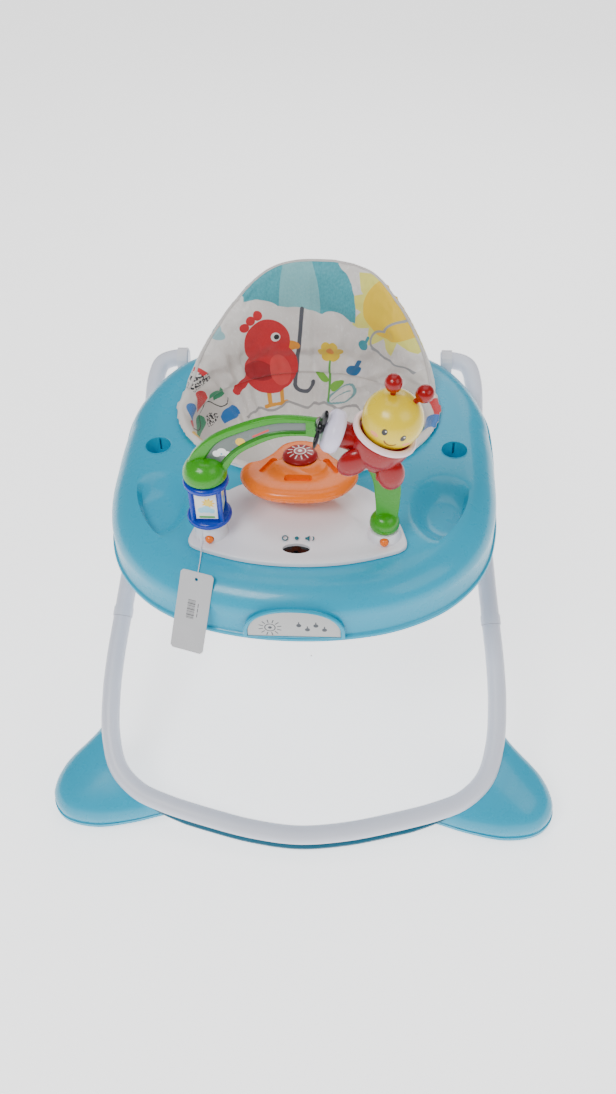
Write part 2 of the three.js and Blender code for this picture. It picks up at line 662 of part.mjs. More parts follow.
// A tapered socket for each foot of the toy arch, with a pocket for its release button.
const BUTTON_Z = 423.6;
const PEG_BOTTOM_Z = SOCKET_SEAT_Z + 2;
const SHORT_PEG_Z = SOCKET_TOP_Z.right - 3.5; // the ball's peg stays above the release button
function archSocket(top) {
  const cone = turned([[0, SOCKET_SEAT_Z], [21, SOCKET_SEAT_Z], [18, top], [0, top]], 16);
  const bore = turned([
    [0, PEG_BOTTOM_Z - GAP], [7.5, PEG_BOTTOM_Z - GAP], [7.5, 460], [0, 460],
  ], 14);
  const pocket = new THREE.CylinderGeometry(5.5, 5.5, 14, 14).translate(0, -19, BUTTON_Z);
  return cut(cone, bore, pocket).translate(ARCH.x, ARCH.y, 0);
}
const releaseButton = turned([[0, 0], [5, 0], [5, 4.7], [3.9, 7.1], [0, 7.5]], 14)
  .rotateX(Math.PI / 2).translate(ARCH.x, ARCH.y - 16.5, BUTTON_Z);
piece("arch_socket_right", archSocket(SOCKET_TOP_Z.right), whiteGloss);
piece("arch_socket_left", mirrored(archSocket(SOCKET_TOP_Z.left)), whiteGloss);
pair("release_button", releaseButton, orange);

const knob = join(
  box(11, 9, 3, 0, SWITCH_Y, PANEL_EDGE_Z - 1.6),
  box(5, 8, 3, 0, SWITCH_Y, PANEL_EDGE_Z + 0.6),
);
piece("volume_switch", knob, black);

const steering = group(walker, 0, COLUMN_Y, 0);
piece("steering_column", turned([
  [0, PANEL_Z + 2], [7.6, PANEL_Z + 2], [7.6, PANEL_EDGE_Z + 15], [24, PANEL_EDGE_Z + 15],
  [17, WHEEL_Z - 10], [0, WHEEL_Z - 10],
], 20), orange, steering);

// A rounded three-cornered hand wheel with finger hollows and a hub that holds the button.
function handWheel() {
  const half = [[0, -76], [34, -72], [58, -56], [71, -32], [68, -10], [52, -2], [36, 16], [22, 38], [0, 46]];
  const loop = curve(
    [...half, ...half.slice(1, -1).reverse().map(([x, y]) => [-x, y])].map(([x, y]) => vec(x, y, 0)),
    true,
  ).getPoints(28).slice(0, -1);
  const ring = (scale, z) => loop.map((p) => vec(p.x * scale, -14 + (p.y + 14) * scale, z));
  const body = skin([
    ring(0.8, -8), ring(0.96, -5), ring(1, 1), ring(0.95, 7), ring(0.82, 9), ring(0.6, 9),
    ring(0.44, 13),
  ]);
  const grip = (x, y, turn) => pill(17, 4.2, 40).rotateZ(turn).translate(x, y, 4);
  const seat = turned([[0, 8], [22.4, 8], [22.4, 30], [0, 30]], 22);
  return cut(body, grip(0, -44, 0), grip(38, -15, -1.1), grip(-38, -15, 1.1), seat);
}
const wheelGroup = group(steering, 0, 0, WHEEL_Z);
wheelGroup.rotation.x = THREE.MathUtils.degToRad(WHEEL_TILT);
piece("steering_wheel", handWheel(), orange, wheelGroup);
piece("horn_button", turned([[0, 12], [21.6, 12], [21.6, 15], [17, 18.5], [8, 20.5], [0, 21]], 22),
  red, wheelGroup);

// ---- Toy arch ----
// The arch is a flat band that stands on edge. It starts on a post inside the roller, under
// a domed cap, and ends in a ball over the other socket.
const DOME_Z = 507;
const OUTER_SIDE = [
  [-126, 514], [-118, 538], [-96, 562], [-64, 580], [-20, 594], [30, 591], [66, 580], [94, 560],
  [114, 530], [121, 500], [121, 474], [119, 446],
];
const INNER_SIDE = [
  [94, 446], [92, 478], [88, 508], [76, 534], [50, 557], [16, 569], [-16, 567], [-43, 555],
  [-64, 540], [-80, 514],
];
const WINDOW = [
  [-108, 527], [-89, 557], [-62, 573], [-20, 587], [-20, 572], [-46, 561], [-69, 544], [-85, 523],
];
const smoothLine = (side, steps) => curve(side.map(([x, z]) => vec(x, z, 0))).getPoints(steps)
  .map((point) => [point.x, point.y]);
const bandOutline = [...smoothLine(OUTER_SIDE, 16), ...smoothLine(INNER_SIDE, 14)];
const windowOutline = [...smoothLine(WINDOW.slice(0, 4), 8), ...smoothLine(WINDOW.slice(4), 8)];

function standing(outline, thickness) {
  return plate(outline, thickness).rotateX(Math.PI / 2)
    .translate(0, ARCH.y + thickness / 2, 0);
}
function toyArch() {
  const cap = turned([
    [0, DOME_Z], [25, DOME_Z], [26, DOME_Z + 5], [23, DOME_Z + 16], [15, DOME_Z + 24],
    [0, DOME_Z + 28],
  ], 18).translate(-ARCH.x, ARCH.y, 0);
  const post = turned([
    [0, PEG_BOTTOM_Z], [7, PEG_BOTTOM_Z], [7, DOME_Z + 4], [0, DOME_Z + 4],
  ], 14).translate(-ARCH.x, ARCH.y, 0);
  const ballZ = SOCKET_TOP_Z.right + 0.8;
  const foot = turned([
    [0, SHORT_PEG_Z], [7, SHORT_PEG_Z], [7, ballZ], [16, ballZ], [18, ballZ + 6],
    [17, ballZ + 14], [11, ballZ + 22], [0, ballZ + 25],
  ], 16).translate(ARCH.x, ARCH.y, 0);
  const band = standing(bandOutline, ARCH.thickness);
  return cut(join(band, cap, post, foot), standing(windowOutline, 20));
}
piece("toy_arch", toyArch(), green);
piece("arch_window", standing(inset(windowOutline, 1), 2.4), grey);

// A roller that spins on the arch's post: two round flanges on a square core.
function roller() {
  const flange = (z) => turned([
    [0, z], [24, z], [26.5, z + 2.5], [26.5, z + 6.5], [24, z + 9], [0, z + 9],
  ], 18);
  const core = box(36, 36, 54, 0, 0, 474);
  const bore = turned([[0, 430], [7.5, 430], [7.5, 530], [0, 530]], 14);
  return cut(join(flange(443), flange(496), core), bore).translate(-ARCH.x, ARCH.y, 0);
}
piece("spool", roller(), blue);

// ---- Aeroplane toy on the arch ----
// The fuselage carries a nose bulkhead and two blunt wings, and a peg into the arch holds it.
const HEAD_RADIUS = 33;
const HEAD_RISE = 26;
const plane = group(walker, PLANE.x, PLANE.y, PLANE.z);
plane.rotation.y = THREE.MathUtils.degToRad(PLANE.tilt);
function fuselage() {
  const shell = turned([
    [0, -38], [13, -37], [24, -30], [31, -18], [33.5, -4], [33.5, 2], [0, 2],
  ], 18);
  const bulkhead = rod(14.6, 26, -30, 0, -13, 16);
  const wing = (x, turn) => ball(1, 0, 0, 0, 12, 8).scale(15, 9, 21).rotateY(turn)
    .translate(x, -19, -30);
  const peg = new THREE.CylinderGeometry(4.5, 4.5, 44, 10).translate(14, 2.4, -40);
  const saddle = box(22, 30, 16, 11, 2, -33);
  const seat = ball(HEAD_RADIUS + 1, 0, 0, HEAD_RISE, 16, 10);
  const body = join(shell, bulkhead, wing(-21, 0.35), wing(23, -0.35), saddle, peg);
  const arch = standing(inset(bandOutline, -0.6), ARCH.thickness + 0.8)
    .translate(-PLANE.x, -PLANE.y, -PLANE.z)
    .rotateY(-plane.rotation.y);
  return largest(cut(body, seat, arch));
}
piece("plane_body", fuselage(), red, plane);

const rim = new THREE.TorusGeometry(33, 3.6, 8, 20).translate(0, 0, 6.2);
piece("cockpit_rim", rim, whiteGloss, plane);

const nose = group(plane, -43.6, 0, -13);
nose.rotation.y = -Math.PI / 2;
piece("plane_nose", turned([
  [0, 0], [22, 0], [24.5, 4], [24, 13], [18, 18], [0, 19],
], 18), whiteGloss, nose);

function propeller() {
  const hub = turned([[0, 0], [7, 0], [8, 4], [6, 9], [0, 11]], 12);
  const blade = (turn) => ball(1, 0, 0, 0, 10, 6).scale(6.2, 11, 2.6).translate(0, 14, 4)
    .rotateZ(turn);
  return join(hub, blade(0.35), blade(0.35 + 2.0944), blade(0.35 + 4.1888));
}
piece("propeller", propeller(), black, group(nose, 0, 0, 19.6));

const head = group(plane, 0, 0, HEAD_RISE);
piece("pilot_head", turned([
  [0, -32], [14, -29.3], [25, -20.5], [31.8, -7], [32.4, 8], [27, 20], [16.5, 29], [0, 33],
], 20), yellow, head);
for (const [side, sign] of [["left", -1], ["right", 1]]) {
  const feeler = turned([
    [0, 0], [3, 0], [3, 6], [7, 8], [9.8, 14], [9.4, 20], [5.5, 25], [0, 26.5],
  ], 12).translate(0, 0, HEAD_RADIUS + 0.6).rotateY(sign * 0.36);
  piece("feeler_" + side, feeler, red, head);
}

// ---- Hang tag ----
// The tag leans on the rim, and its thread runs from the left socket over the panel's edge.
const TAG = { x: -129, y: -269, z: 330, lean: 0.56, turn: -0.3 };
const TAG_HOLE = 89; // height of the thread's hole
const tagOutline = [[-21, 3], [-18, 0], [18, 0], [21, 3], [21, 95], [18, 98], [-18, 98], [-21, 95]];
const tagHole = new THREE.CylinderGeometry(2.2, 2.2, 6, 8).rotateX(Math.PI / 2)
  .translate(0, TAG_HOLE, 0);
const tag = cut(plate(tagOutline, 1), tagHole).rotateX(Math.PI / 2 - TAG.lean).rotateZ(TAG.turn)
  .translate(TAG.x, TAG.y, TAG.z);
piece("hang_tag", tag, card);

const THREAD = [
  [-113, -173.6, 436], [-113.2, -174.6, 428], [-113.4, -176.8, 421.5], [-113.4, -181.2, 419],
  [-113.4, -185.8, 417.6], [-113.5, -189, 414], [-113.6, -195, 411.6], [-113.8, -204, 410.4],
  [-114.2, -212, 408.8], [-114.8, -219, 406.4], [-115, -222, 405.3],
].map(([x, y, z]) => vec(x, y, z));
piece("tag_thread", sweep(circle(0.6, 8), curve(THREAD), 22), card);

export default walker;
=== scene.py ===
import bpy
import math
import numpy as np
from mathutils import Matrix, Vector


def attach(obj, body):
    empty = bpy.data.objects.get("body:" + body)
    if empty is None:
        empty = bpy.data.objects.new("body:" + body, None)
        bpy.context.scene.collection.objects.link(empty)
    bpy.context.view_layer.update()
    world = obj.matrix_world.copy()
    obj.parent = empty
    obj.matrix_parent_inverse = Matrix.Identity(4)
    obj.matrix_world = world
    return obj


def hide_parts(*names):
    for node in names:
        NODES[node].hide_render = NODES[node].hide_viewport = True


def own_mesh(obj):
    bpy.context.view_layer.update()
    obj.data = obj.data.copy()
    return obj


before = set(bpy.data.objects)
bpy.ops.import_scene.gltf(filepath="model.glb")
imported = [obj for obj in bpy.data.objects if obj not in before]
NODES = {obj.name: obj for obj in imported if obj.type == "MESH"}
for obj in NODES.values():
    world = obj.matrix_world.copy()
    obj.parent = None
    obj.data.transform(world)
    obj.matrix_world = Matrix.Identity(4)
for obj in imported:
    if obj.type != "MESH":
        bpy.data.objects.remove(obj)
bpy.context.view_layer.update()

# ---------------------------------------------------------------- sizes, in metres
DECK_Z = 0.410
SKIN = 0.003
RIM_DEEP_Z = 0.338
RIM_SHALLOW_Z = 0.375
RIM_SHOULDER_Z = 0.374
CROWN = 0.048
SEAT_Y = 0.095
SEAT_HALF_WIDTH = 0.177
SEAT_HALF_LENGTH = 0.138
SEAT_TOP_Z = 0.560
FRONT_TUBE = 0.0125
REAR_TUBE = 0.011
PIVOT = (0.250, 0.385)
FRONT_BAR = (-0.341, 0.041)
FRONT_REACH = math.hypot(PIVOT[0] - FRONT_BAR[0], PIVOT[1] - FRONT_BAR[1])
COLUMN_Y = -0.076
WHEEL_Z = 0.458
WHEEL_TILT = math.radians(-6)
ARCH_X, ARCH_Y = 0.104, -0.155
SOCKET_TOP = {1: 0.430, -1: 0.441}
SWITCH_Y = -0.183
BUTTON_Z = 0.4236
CUP_AT = (0.1955, 0.015)
CASTER_AT = (0.290, -0.283)
CASTER_TRAIL = 0.009
REAR_AXLE_AT = (0.242, 0.293, 0.024)
CASTER_RADIUS, REAR_RADIUS = 0.020, 0.024
SIDES = ((1, "right"), (-1, "left"))
QUARTER = math.pi / 2
PHOTO_HEIGHT = 1094
FOCAL_LENGTH = 1101             # in the photo's pixels: a choice, since the photo alone hardly fixes it
PLANE = Matrix.Translation((0.098, -0.184, 0.591)) @ Matrix.Rotation(math.radians(22), 4, "Y")

# ---------------------------------------------------------------- camera and floor
CAMERA_AT = Vector((0.0829, -1.1063, 1.3379))
YAW, PITCH, ROLL = -0.07444, 0.7800, -0.03272
forward = Vector((math.sin(YAW) * math.cos(PITCH), math.cos(YAW) * math.cos(PITCH), -math.sin(PITCH)))
level = Vector((math.cos(YAW), -math.sin(YAW), 0))
upward = level.cross(forward)
cam_x = math.cos(ROLL) * level + math.sin(ROLL) * upward
cam_y = -math.sin(ROLL) * level + math.cos(ROLL) * upward
camera = bpy.data.objects.new("camera", bpy.data.cameras.new("camera"))
camera.data.sensor_width = 36
camera.data.lens = camera.data.sensor_width * FOCAL_LENGTH / PHOTO_HEIGHT
camera.matrix_world = Matrix((
    (cam_x.x, cam_y.x, -forward.x, CAMERA_AT.x),
    (cam_x.y, cam_y.y, -forward.y, CAMERA_AT.y),
    (cam_x.z, cam_y.z, -forward.z, CAMERA_AT.z),
    (0, 0, 0, 1),
))
bpy.context.scene.collection.objects.link(camera)
bpy.context.scene.camera = camera


# ---------------------------------------------------------------- mesh helpers
def mesh_object(name, verts, faces, smooth=True):
    """A new object in the scene from vertices and faces."""
    mesh = bpy.data.meshes.new(name)
    mesh.from_pydata([tuple(map(float, v)) for v in verts], [], [tuple(map(int, f)) for f in faces])
    mesh.validate()
    if smooth:
        mesh.shade_smooth()
    obj = bpy.data.objects.new(name, mesh)
    bpy.context.scene.collection.objects.link(obj)
    return obj


def skin(rows, closed=False, caps=True):
    """Vertices and faces of a surface through rows of points, each row a closed loop."""
    rows = np.asarray(rows, float)
    m, n = rows.shape[:2]
    verts = rows.reshape(-1, 3).tolist()
    faces = []
    for r in range(m if closed else m - 1):
        s = (r + 1) % m
        for i in range(n):
            j = (i + 1) % n
            faces.append((r * n + i, r * n + j, s * n + j, s * n + i))
    if not closed and caps:
        faces.append(tuple(range(n))[::-1])
        faces.append(tuple((m - 1) * n + i for i in range(n)))
    return verts, faces


def outward(verts, faces):
    """The same faces, all turned to face out of the solid they close."""
    v = np.asarray(verts, float)
    total = 0.0
    for f in faces:
        for k in range(1, len(f) - 1):
            total += np.dot(v[f[0]], np.cross(v[f[k]], v[f[k + 1]]))
    return faces if total > 0 else [tuple(reversed(f)) for f in faces]


def merge(*parts):
    """Several closed parts as one list of vertices and one of faces."""
    verts, faces = [], []
    for v, f in parts:
        offset = len(verts)
        verts.extend(list(map(tuple, np.asarray(v, float))))
        faces.extend([tuple(i + offset for i in face) for face in outward(v, f)])
    return verts, faces


def solid(name, *parts, smooth=True):
    verts, faces = merge(*parts)
    return mesh_object(name, verts, faces, smooth)


def moved(part, matrix):
    verts, faces = part
    return [tuple(matrix @ Vector(v)) for v in verts], faces


def flipped(part):
    """The part mirrored to the other side of the walker."""
    verts, faces = part
    return [(-x, y, z) for x, y, z in verts], faces


def welded(part, apart=1e-6):
    """The part with points that coincide made one, and faces that vanish left out."""
    verts, faces = part
    first, index, kept = {}, [], []
    for v in verts:
        key = tuple(round(float(c) / apart) for c in v)
        if key not in first:
            first[key] = len(kept)
            kept.append(tuple(map(float, v)))
        index.append(first[key])
    thin = []
    for face in faces:
        ring = [index[i] for i in face]
        ring = [i for k, i in enumerate(ring) if i != ring[k - 1]]
        if len(set(ring)) > 2:
            thin.append(tuple(ring))
    return kept, thin


def turned(profile, segments=48, matrix=None):
    """A turned solid about Z from (radius, height) pairs that start and end on the axis."""
    verts, faces = [], []
    ring = []
    for radius, height in profile:
        if radius < 1e-7:
            ring.append([len(verts)])
            verts.append((0.0, 0.0, height))
        else:
            ring.append(list(range(len(verts), len(verts) + segments)))
            for i in range(segments):
                a = 2 * math.pi * i / segments
                verts.append((radius * math.cos(a), radius * math.sin(a), height))
    for a, b in zip(ring, ring[1:]):
        for i in range(segments):
            j = (i + 1) % segments
            if len(a) == 1 and len(b) == 1:
                continue
            if len(a) == 1:
                faces.append((a[0], b[i], b[j]))
            elif len(b) == 1:
                faces.append((a[i], b[0], a[j]))
            else:
                faces.append((a[i], b[i], b[j], a[j]))
    if matrix is not None:
        verts = [tuple(matrix @ Vector(v)) for v in verts]
    return verts, faces


def rounded(profile, steps=5, radius=0.0012):
    """The profile with its corners rounded off, apart from its two ends."""
    out = [profile[0]]
    for i in range(1, len(profile) - 1):
        p, q, s = (Vector(profile[i - 1]), Vector(profile[i]), Vector(profile[i + 1]))
        a, b = p - q, s - q
        cut = min(radius, 0.45 * a.length, 0.45 * b.length)
        start, end = q + a.normalized() * cut, q + b.normalized() * cut
        for k in range(steps + 1):
            t = k / steps
            point = start * (1 - t) ** 2 + q * 2 * t * (1 - t) + end * t ** 2
            out.append((max(point.x, 0.0), point.y))
    out.append(profile[-1])
    return out


def at(x, y, z):
    return Matrix.Translation((x, y, z))


def about(axis, angle):
    return Matrix.Rotation(angle, 4, axis)


def drum(radius, low, high):
    """The profile of a plain turned disc or rod."""
    return [(0, low), (radius, low), (radius, high), (0, high)]


def box(half_x, half_y):
    return [(half_x, -half_y), (half_x, half_y), (-half_x, half_y), (-half_x, -half_y)]


def mm(points):
    """Points given in millimetres, in metres, with z = 0 where only x and y are given."""
    return [(p[0] / 1000, p[1] / 1000, p[2] / 1000 if len(p) > 2 else 0) for p in points]


def both_halves(half):
    """A closed outline from its right half, whose two ends lie on the middle line."""
    return half + [(-x, y) for x, y in reversed(half[1:-1])]


def catmull(points, steps, closed=False):
    """Centripetal Catmull-Rom through the points, at equal parameter steps."""
    p = np.asarray(points, float)
    n = len(p)
    out = []
    count = steps if closed else steps + 1
    for k in range(count):
        t = (n if closed else n - 1) * k / steps
        i = int(math.floor(t))
        w = t - i
        if not closed and i >= n - 1:
            i, w = n - 2, 1.0
        if closed:
            quad = [p[(i + d) % n] for d in (-1, 0, 1, 2)]
        else:
            quad = [
                p[i - 1] if i > 0 else 2 * p[0] - p[1], p[i], p[i + 1],
                p[i + 2] if i + 2 < n else 2 * p[-1] - p[-2],
            ]
        d = [max(float(np.sum((quad[a + 1] - quad[a]) ** 2)) ** 0.25, 1e-6) for a in range(3)]
        t1 = (quad[1] - quad[0]) / d[0] - (quad[2] - quad[0]) / (d[0] + d[1]) + (quad[2] - quad[1]) / d[1]
        t2 = (quad[2] - quad[1]) / d[1] - (quad[3] - quad[1]) / (d[1] + d[2]) + (quad[3] - quad[2]) / d[2]
        t1, t2 = t1 * d[1], t2 * d[1]
        c2 = -3 * quad[1] + 3 * quad[2] - 2 * t1 - t2
        c3 = 2 * quad[1] - 2 * quad[2] + t1 + t2
        out.append(quad[1] + t1 * w + c2 * w * w + c3 * w ** 3)
    return np.array(out)


def spaced(points, count):
    """The polyline resampled to count points, equally far apart."""
    p = np.asarray(points, float)
    s = np.concatenate([[0], np.cumsum(np.linalg.norm(np.diff(p, axis=0), axis=1))])
    want = np.linspace(0, s[-1], count)
    return np.stack([np.interp(want, s, p[:, k]) for k in range(p.shape[1])], axis=1)


def tube(points, radius, sides=20, section=None, up=(0, 0, 1)):
    """A closed tube along the points, or a bar of the given section of (side, up) pairs."""
    p = np.asarray(points, float)
    tangent = np.gradient(p, axis=0)
    tangent /= np.linalg.norm(tangent, axis=1)[:, None]
    normal = np.cross(tangent[0], up)
    if np.linalg.norm(normal) < 1e-4:
        normal = np.cross(tangent[0], (0, 1, 0))
    rows = []
    for k in range(len(p)):
        normal = normal - tangent[k] * np.dot(normal, tangent[k])
        normal /= np.linalg.norm(normal)
        other = np.cross(normal, tangent[k])
        if section is None:
            a = 2 * np.pi * np.arange(sides) / sides
            ring = radius * (np.cos(a)[:, None] * normal + np.sin(a)[:, None] * other)
        else:
            ring = np.array([s * normal + u * other for s, u in section])
        rows.append(p[k] + ring)
    return skin(rows)


def ellipsoid(scale, matrix=None, across=32, down=18):
    profile = [(math.sin(math.pi * k / down), -math.cos(math.pi * k / down)) for k in range(down + 1)]
    profile[0], profile[-1] = (0, -1), (0, 1)
    m = Matrix.Diagonal((*scale, 1))
    return turned(profile, across, (matrix or Matrix.Identity(4)) @ m)


def extruded(outline, thickness, bevel=0.0, steps=3):
    """A plate in XY from z = 0 up, with rounded edges."""
    p = np.asarray(outline, float)
    area = np.sum(p[:, 0] * np.roll(p[:, 1], -1) - np.roll(p[:, 0], -1) * p[:, 1])
    along = np.roll(p, -1, axis=0) - np.roll(p, 1, axis=0)
    along /= np.linalg.norm(along, axis=1)[:, None]
    inward = np.stack([-along[:, 1], along[:, 0]], axis=1) * np.sign(area)
    rows = []
    levels = []
    if bevel > 0:
        for k in range(steps + 1):
            a = 0.5 * math.pi * k / steps
            levels.append((bevel * (1 - math.sin(a)), bevel * (1 - math.cos(a))))
        levels += [(inset, thickness - z) for inset, z in reversed(levels)]
    else:
        levels = [(0, 0), (0, thickness)]
    for inset, z in levels:
        q = p + inward * inset
        rows.append(np.column_stack([q, np.full(len(q), z)]))
    return skin(rows)


def boolean(obj, *cutters):
    """obj with the cutters taken away from it, and the cutters deleted."""
    for cutter in cutters:
        modifier = obj.modifiers.new("cut", "BOOLEAN")
        modifier.operation = "DIFFERENCE"
        modifier.object = cutter
        modifier.solver = "EXACT"
    apply_modifiers(obj)
    for cutter in cutters:
        bpy.data.objects.remove(cutter)
    return obj


def apply_modifiers(obj):
    depsgraph = bpy.context.evaluated_depsgraph_get()
    mesh = bpy.data.meshes.new_from_object(obj.evaluated_get(depsgraph))
    obj.modifiers.clear()
    obj.data = mesh
    return obj


def subdivide(obj, levels=1):
    modifier = obj.modifiers.new("subdivision", "SUBSURF")
    modifier.levels = levels
    modifier.render_levels = levels
    return apply_modifiers(obj)


def creased(obj, degrees=35):
    """Smooth shading with sharp edges where faces meet at more than the angle."""
    obj.data.shade_smooth()
    obj.data.set_sharp_from_angle(angle=math.radians(degrees))
    return obj


def place(obj, body, slot, material, *replaced):
    """Gives a piece its material and its body, and hides the CAD nodes that it stands for. The slot is not
    used.
    """
    obj.data.materials.clear()
    obj.data.materials.append(material)
    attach(obj, body)
    if replaced:
        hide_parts(*replaced)
    return obj


# ---------------------------------------------------------------- material helpers
def linear(r, g, b):
    """An sRGB colour of 0 to 255 as scene-linear RGBA."""
    return tuple(((c / 255 + 0.055) / 1.055) ** 2.4 if c > 10 else c / 255 / 12.92 for c in (r, g,
            b)) + (1,)


class Value:
    """A number in a node tree, with arithmetic."""

    def __init__(self, tree, socket):
        self.tree = tree
        self.socket = socket

    def op(self, name, *others, clamp=False):
        node = self.tree.nodes.new("ShaderNodeMath")
        node.operation = name
        node.use_clamp = clamp
        for i, value in enumerate((self, *others)):
            if isinstance(value, Value):
                self.tree.links.new(value.socket, node.inputs[i])
            else:
                node.inputs[i].default_value = value
        return Value(self.tree, node.outputs[0])

    def __add__(self, other):
        return self.op("ADD", other)

    def __sub__(self, other):
        return self.op("SUBTRACT", other)

    def __mul__(self, other):
        return self.op("MULTIPLY", other)

    def __truediv__(self, other):
        return self.op("DIVIDE", other)

    def __neg__(self):
        return self.op("MULTIPLY", -1.0)

    def low(self, other):
        return self.op("MINIMUM", other)

    def high(self, other):
        return self.op("MAXIMUM", other)

    def size(self):
        return self.op("ABSOLUTE")

    def inside(self, soft=0.0004):
        """1 where this distance is below zero, with a soft edge."""
        return self.op("MULTIPLY_ADD", -1 / soft, 0.5, clamp=True)


class Surface:
    """A material under construction: one Principled shader and what feeds it."""

    def __init__(self, name, coords="Object"):
        self.material = bpy.data.materials.new(name)
        self.material.use_nodes = True
        self.tree = self.material.node_tree
        self.shader = self.tree.nodes["Principled BSDF"]
        if coords == "UV":
            node = self.tree.nodes.new("ShaderNodeUVMap")
            node.uv_map = "print"
            self.coords = node.outputs[0]
        else:
            self.coords = self.tree.nodes.new("ShaderNodeTexCoord").outputs["Object"]

    def new(self, kind, **inputs):
        node = self.tree.nodes.new(kind)
        for key, value in inputs.items():
            name = key.replace("_", " ")
            if isinstance(value, bpy.types.NodeSocket):
                self.tree.links.new(value, node.inputs[name])
            elif isinstance(value, Value):
                self.tree.links.new(value.socket, node.inputs[name])
            else:
                node.inputs[name].default_value = value
        return node

    def noise(self, scale, detail=2.0, coords=None, roughness=0.5, stretch=None):
        source = coords or self.object_coords()
        if stretch:
            mapping = self.new("ShaderNodeMapping", Vector=source)
            mapping.inputs["Scale"].default_value = stretch
            source = mapping.outputs[0]
        node = self.new("ShaderNodeTexNoise", Vector=source, Scale=scale, Detail=detail,
                        Roughness=roughness)
        return Value(self.tree, node.outputs["Fac"])

    def object_coords(self):
        for node in self.tree.nodes:
            if node.type == "TEX_COORD":
                return node.outputs["Object"]
        return self.tree.nodes.new("ShaderNodeTexCoord").outputs["Object"]

    def parts(self, coords=None):
        node = self.new("ShaderNodeSeparateXYZ", Vector=coords or self.coords)
        return [Value(self.tree, node.outputs[i]) for i in range(3)]

    def mix(self, factor, a, b):
        node = self.tree.nodes.new("ShaderNodeMix")
        node.data_type = "RGBA"
        for value, socket in ((factor, node.inputs[0]), (a, node.inputs[6]), (b, node.inputs[7])):
            if isinstance(value, Value):
                self.tree.links.new(value.socket, socket)
            elif isinstance(value, bpy.types.NodeSocket):
                self.tree.links.new(value, socket)
            else:
                socket.default_value = value
        return node.outputs[2]

    def colour(self, socket):
        self.tree.links.new(socket, self.shader.inputs["Base Color"])

    def set(self, **inputs):
        for key, value in inputs.items():
            self.shader.inputs[key.replace("_", " ")].default_value = value

    def rough(self, low, high, scale=60):
        grain = self.noise(scale, 3)
        node = self.new("ShaderNodeMapRange", Value=grain, From_Min=0.3, From_Max=0.7, To_Min=low,
                        To_Max=high)
        self.tree.links.new(node.outputs[0], self.shader.inputs["Roughness"])

    def bump(self, height, strength, distance):
        node = self.new("ShaderNodeBump", Height=height, Strength=strength, Distance=distance)
        self.tree.links.new(node.outputs[0], self.shader.inputs["Normal"])


def plastic(name, rgb, rough=(0.2, 0.3), shade=0.9, peel=0.12, coat=0.25, grain=900):
    s = Surface(name)
    base = linear(*rgb)
    dark = tuple(c * shade for c in base[:3]) + (1,)
    s.colour(s.mix(s.noise(14, 3), dark, base))
    s.rough(*rough)
    s.bump(s.noise(grain, 2) * 0.4 + s.noise(70, 1), peel, 0.0004)
    s.set(Coat_Weight=0.5 * coat, Coat_Roughness=0.08, Specular_IOR_Level=0.38)
    return s.material


def metal(name, rgb, rough=(0.22, 0.36)):
    s = Surface(name)
    base = linear(*rgb)
    dark = tuple(c * 0.8 for c in base[:3]) + (1,)
    s.colour(s.mix(s.noise(60, 4, stretch=(1, 12, 1)), dark, base))
    s.rough(*rough, scale=120)
    s.bump(s.noise(1400, 2, stretch=(1, 10, 1)), 0.15, 0.0002)
    s.set(Metallic=1.0)
    return s.material


AQUA = plastic("aqua plastic", (0, 166, 202), (0.24, 0.34), 0.94, 0.1, 0.4)
WHITE = plastic("white plastic", (236, 236, 243), (0.16, 0.26), 0.95, 0.1, 0.4)
TUBE = plastic("white powder coat", (226, 229, 242), (0.3, 0.42), 0.95, 0.3, 0.15, 1600)
TEAL = plastic("deep teal plastic", (12, 104, 118), (0.36, 0.5), 0.85, 0.25, 0.0)
ORANGE = plastic("orange plastic", (252, 118, 0), (0.22, 0.32), 0.93)
RED = plastic("red plastic", (150, 0, 6), (0.2, 0.3), 0.9)
GREEN = plastic("green plastic", (54, 152, 22), (0.22, 0.32), 0.9)
# A darker copy of the green plastic: painted shade for the window rails and the left post.
SHADED_GREEN = plastic("green plastic with painted shade", (38, 122, 18), (0.24, 0.34), 0.9)
BLUE = plastic("blue plastic", (8, 54, 176), (0.2, 0.3), 0.85)
BLACK = plastic("black plastic", (16, 17, 22), (0.14, 0.24), 0.7)
LILAC = plastic("lilac white plastic", (226, 220, 243), (0.2, 0.3), 0.93)
BLUSH = plastic("pale pink plastic", (247, 220, 222), (0.24, 0.34), 0.95)
GREY = plastic("grey plastic", (150, 152, 158), (0.4, 0.55), 0.85, 0.25, 0.0)
BOARD = plastic("circuit board", (22, 92, 50), (0.3, 0.45), 0.8, 0.3)
CELL = metal("battery can", (190, 150, 60))
STEEL = metal("zinc plated steel", (176, 178, 184))
RUBBER = plastic("teal rubber", (0, 98, 124), (0.5, 0.65), 0.85, 0.35, 0.0)

node_materials = {
    "pivot_bracket": WHITE, "height_track": AQUA, "toy_base": WHITE, "battery_door": WHITE,
    "circuit_board": BOARD, "battery_1": CELL, "battery_2": CELL, "speaker": BLACK,
    "height_latch": ORANGE, "volume_switch": BLACK, "frame_rivet": STEEL, "caster_axle": STEEL,
    "rear_axle": STEEL, "slide_bar": STEEL, "seat_back_board": GREY,
}
for node_name, node in NODES.items():
    for prefix, chosen in node_materials.items():
        if node_name.startswith(prefix):
            node.data.materials.clear()
            node.data.materials.append(chosen)


# ---------------------------------------------------------------- drawn prints
def length(x, y):
    return (x * x + y * y).op("SQRT")


def disc(x, y, cx, cy, r):
    return length(x - cx, y - cy) - r


def oval(x, y, cx, cy, rx, ry, turn=0.0):
    c, s = math.cos(turn), math.sin(turn)
    dx, dy = x - cx, y - cy
    along = (dx * c + dy * s) * (1 / rx)
    across = (dy * c - dx * s) * (1 / ry)
    return (length(along, across) - 1.0) * min(rx, ry)


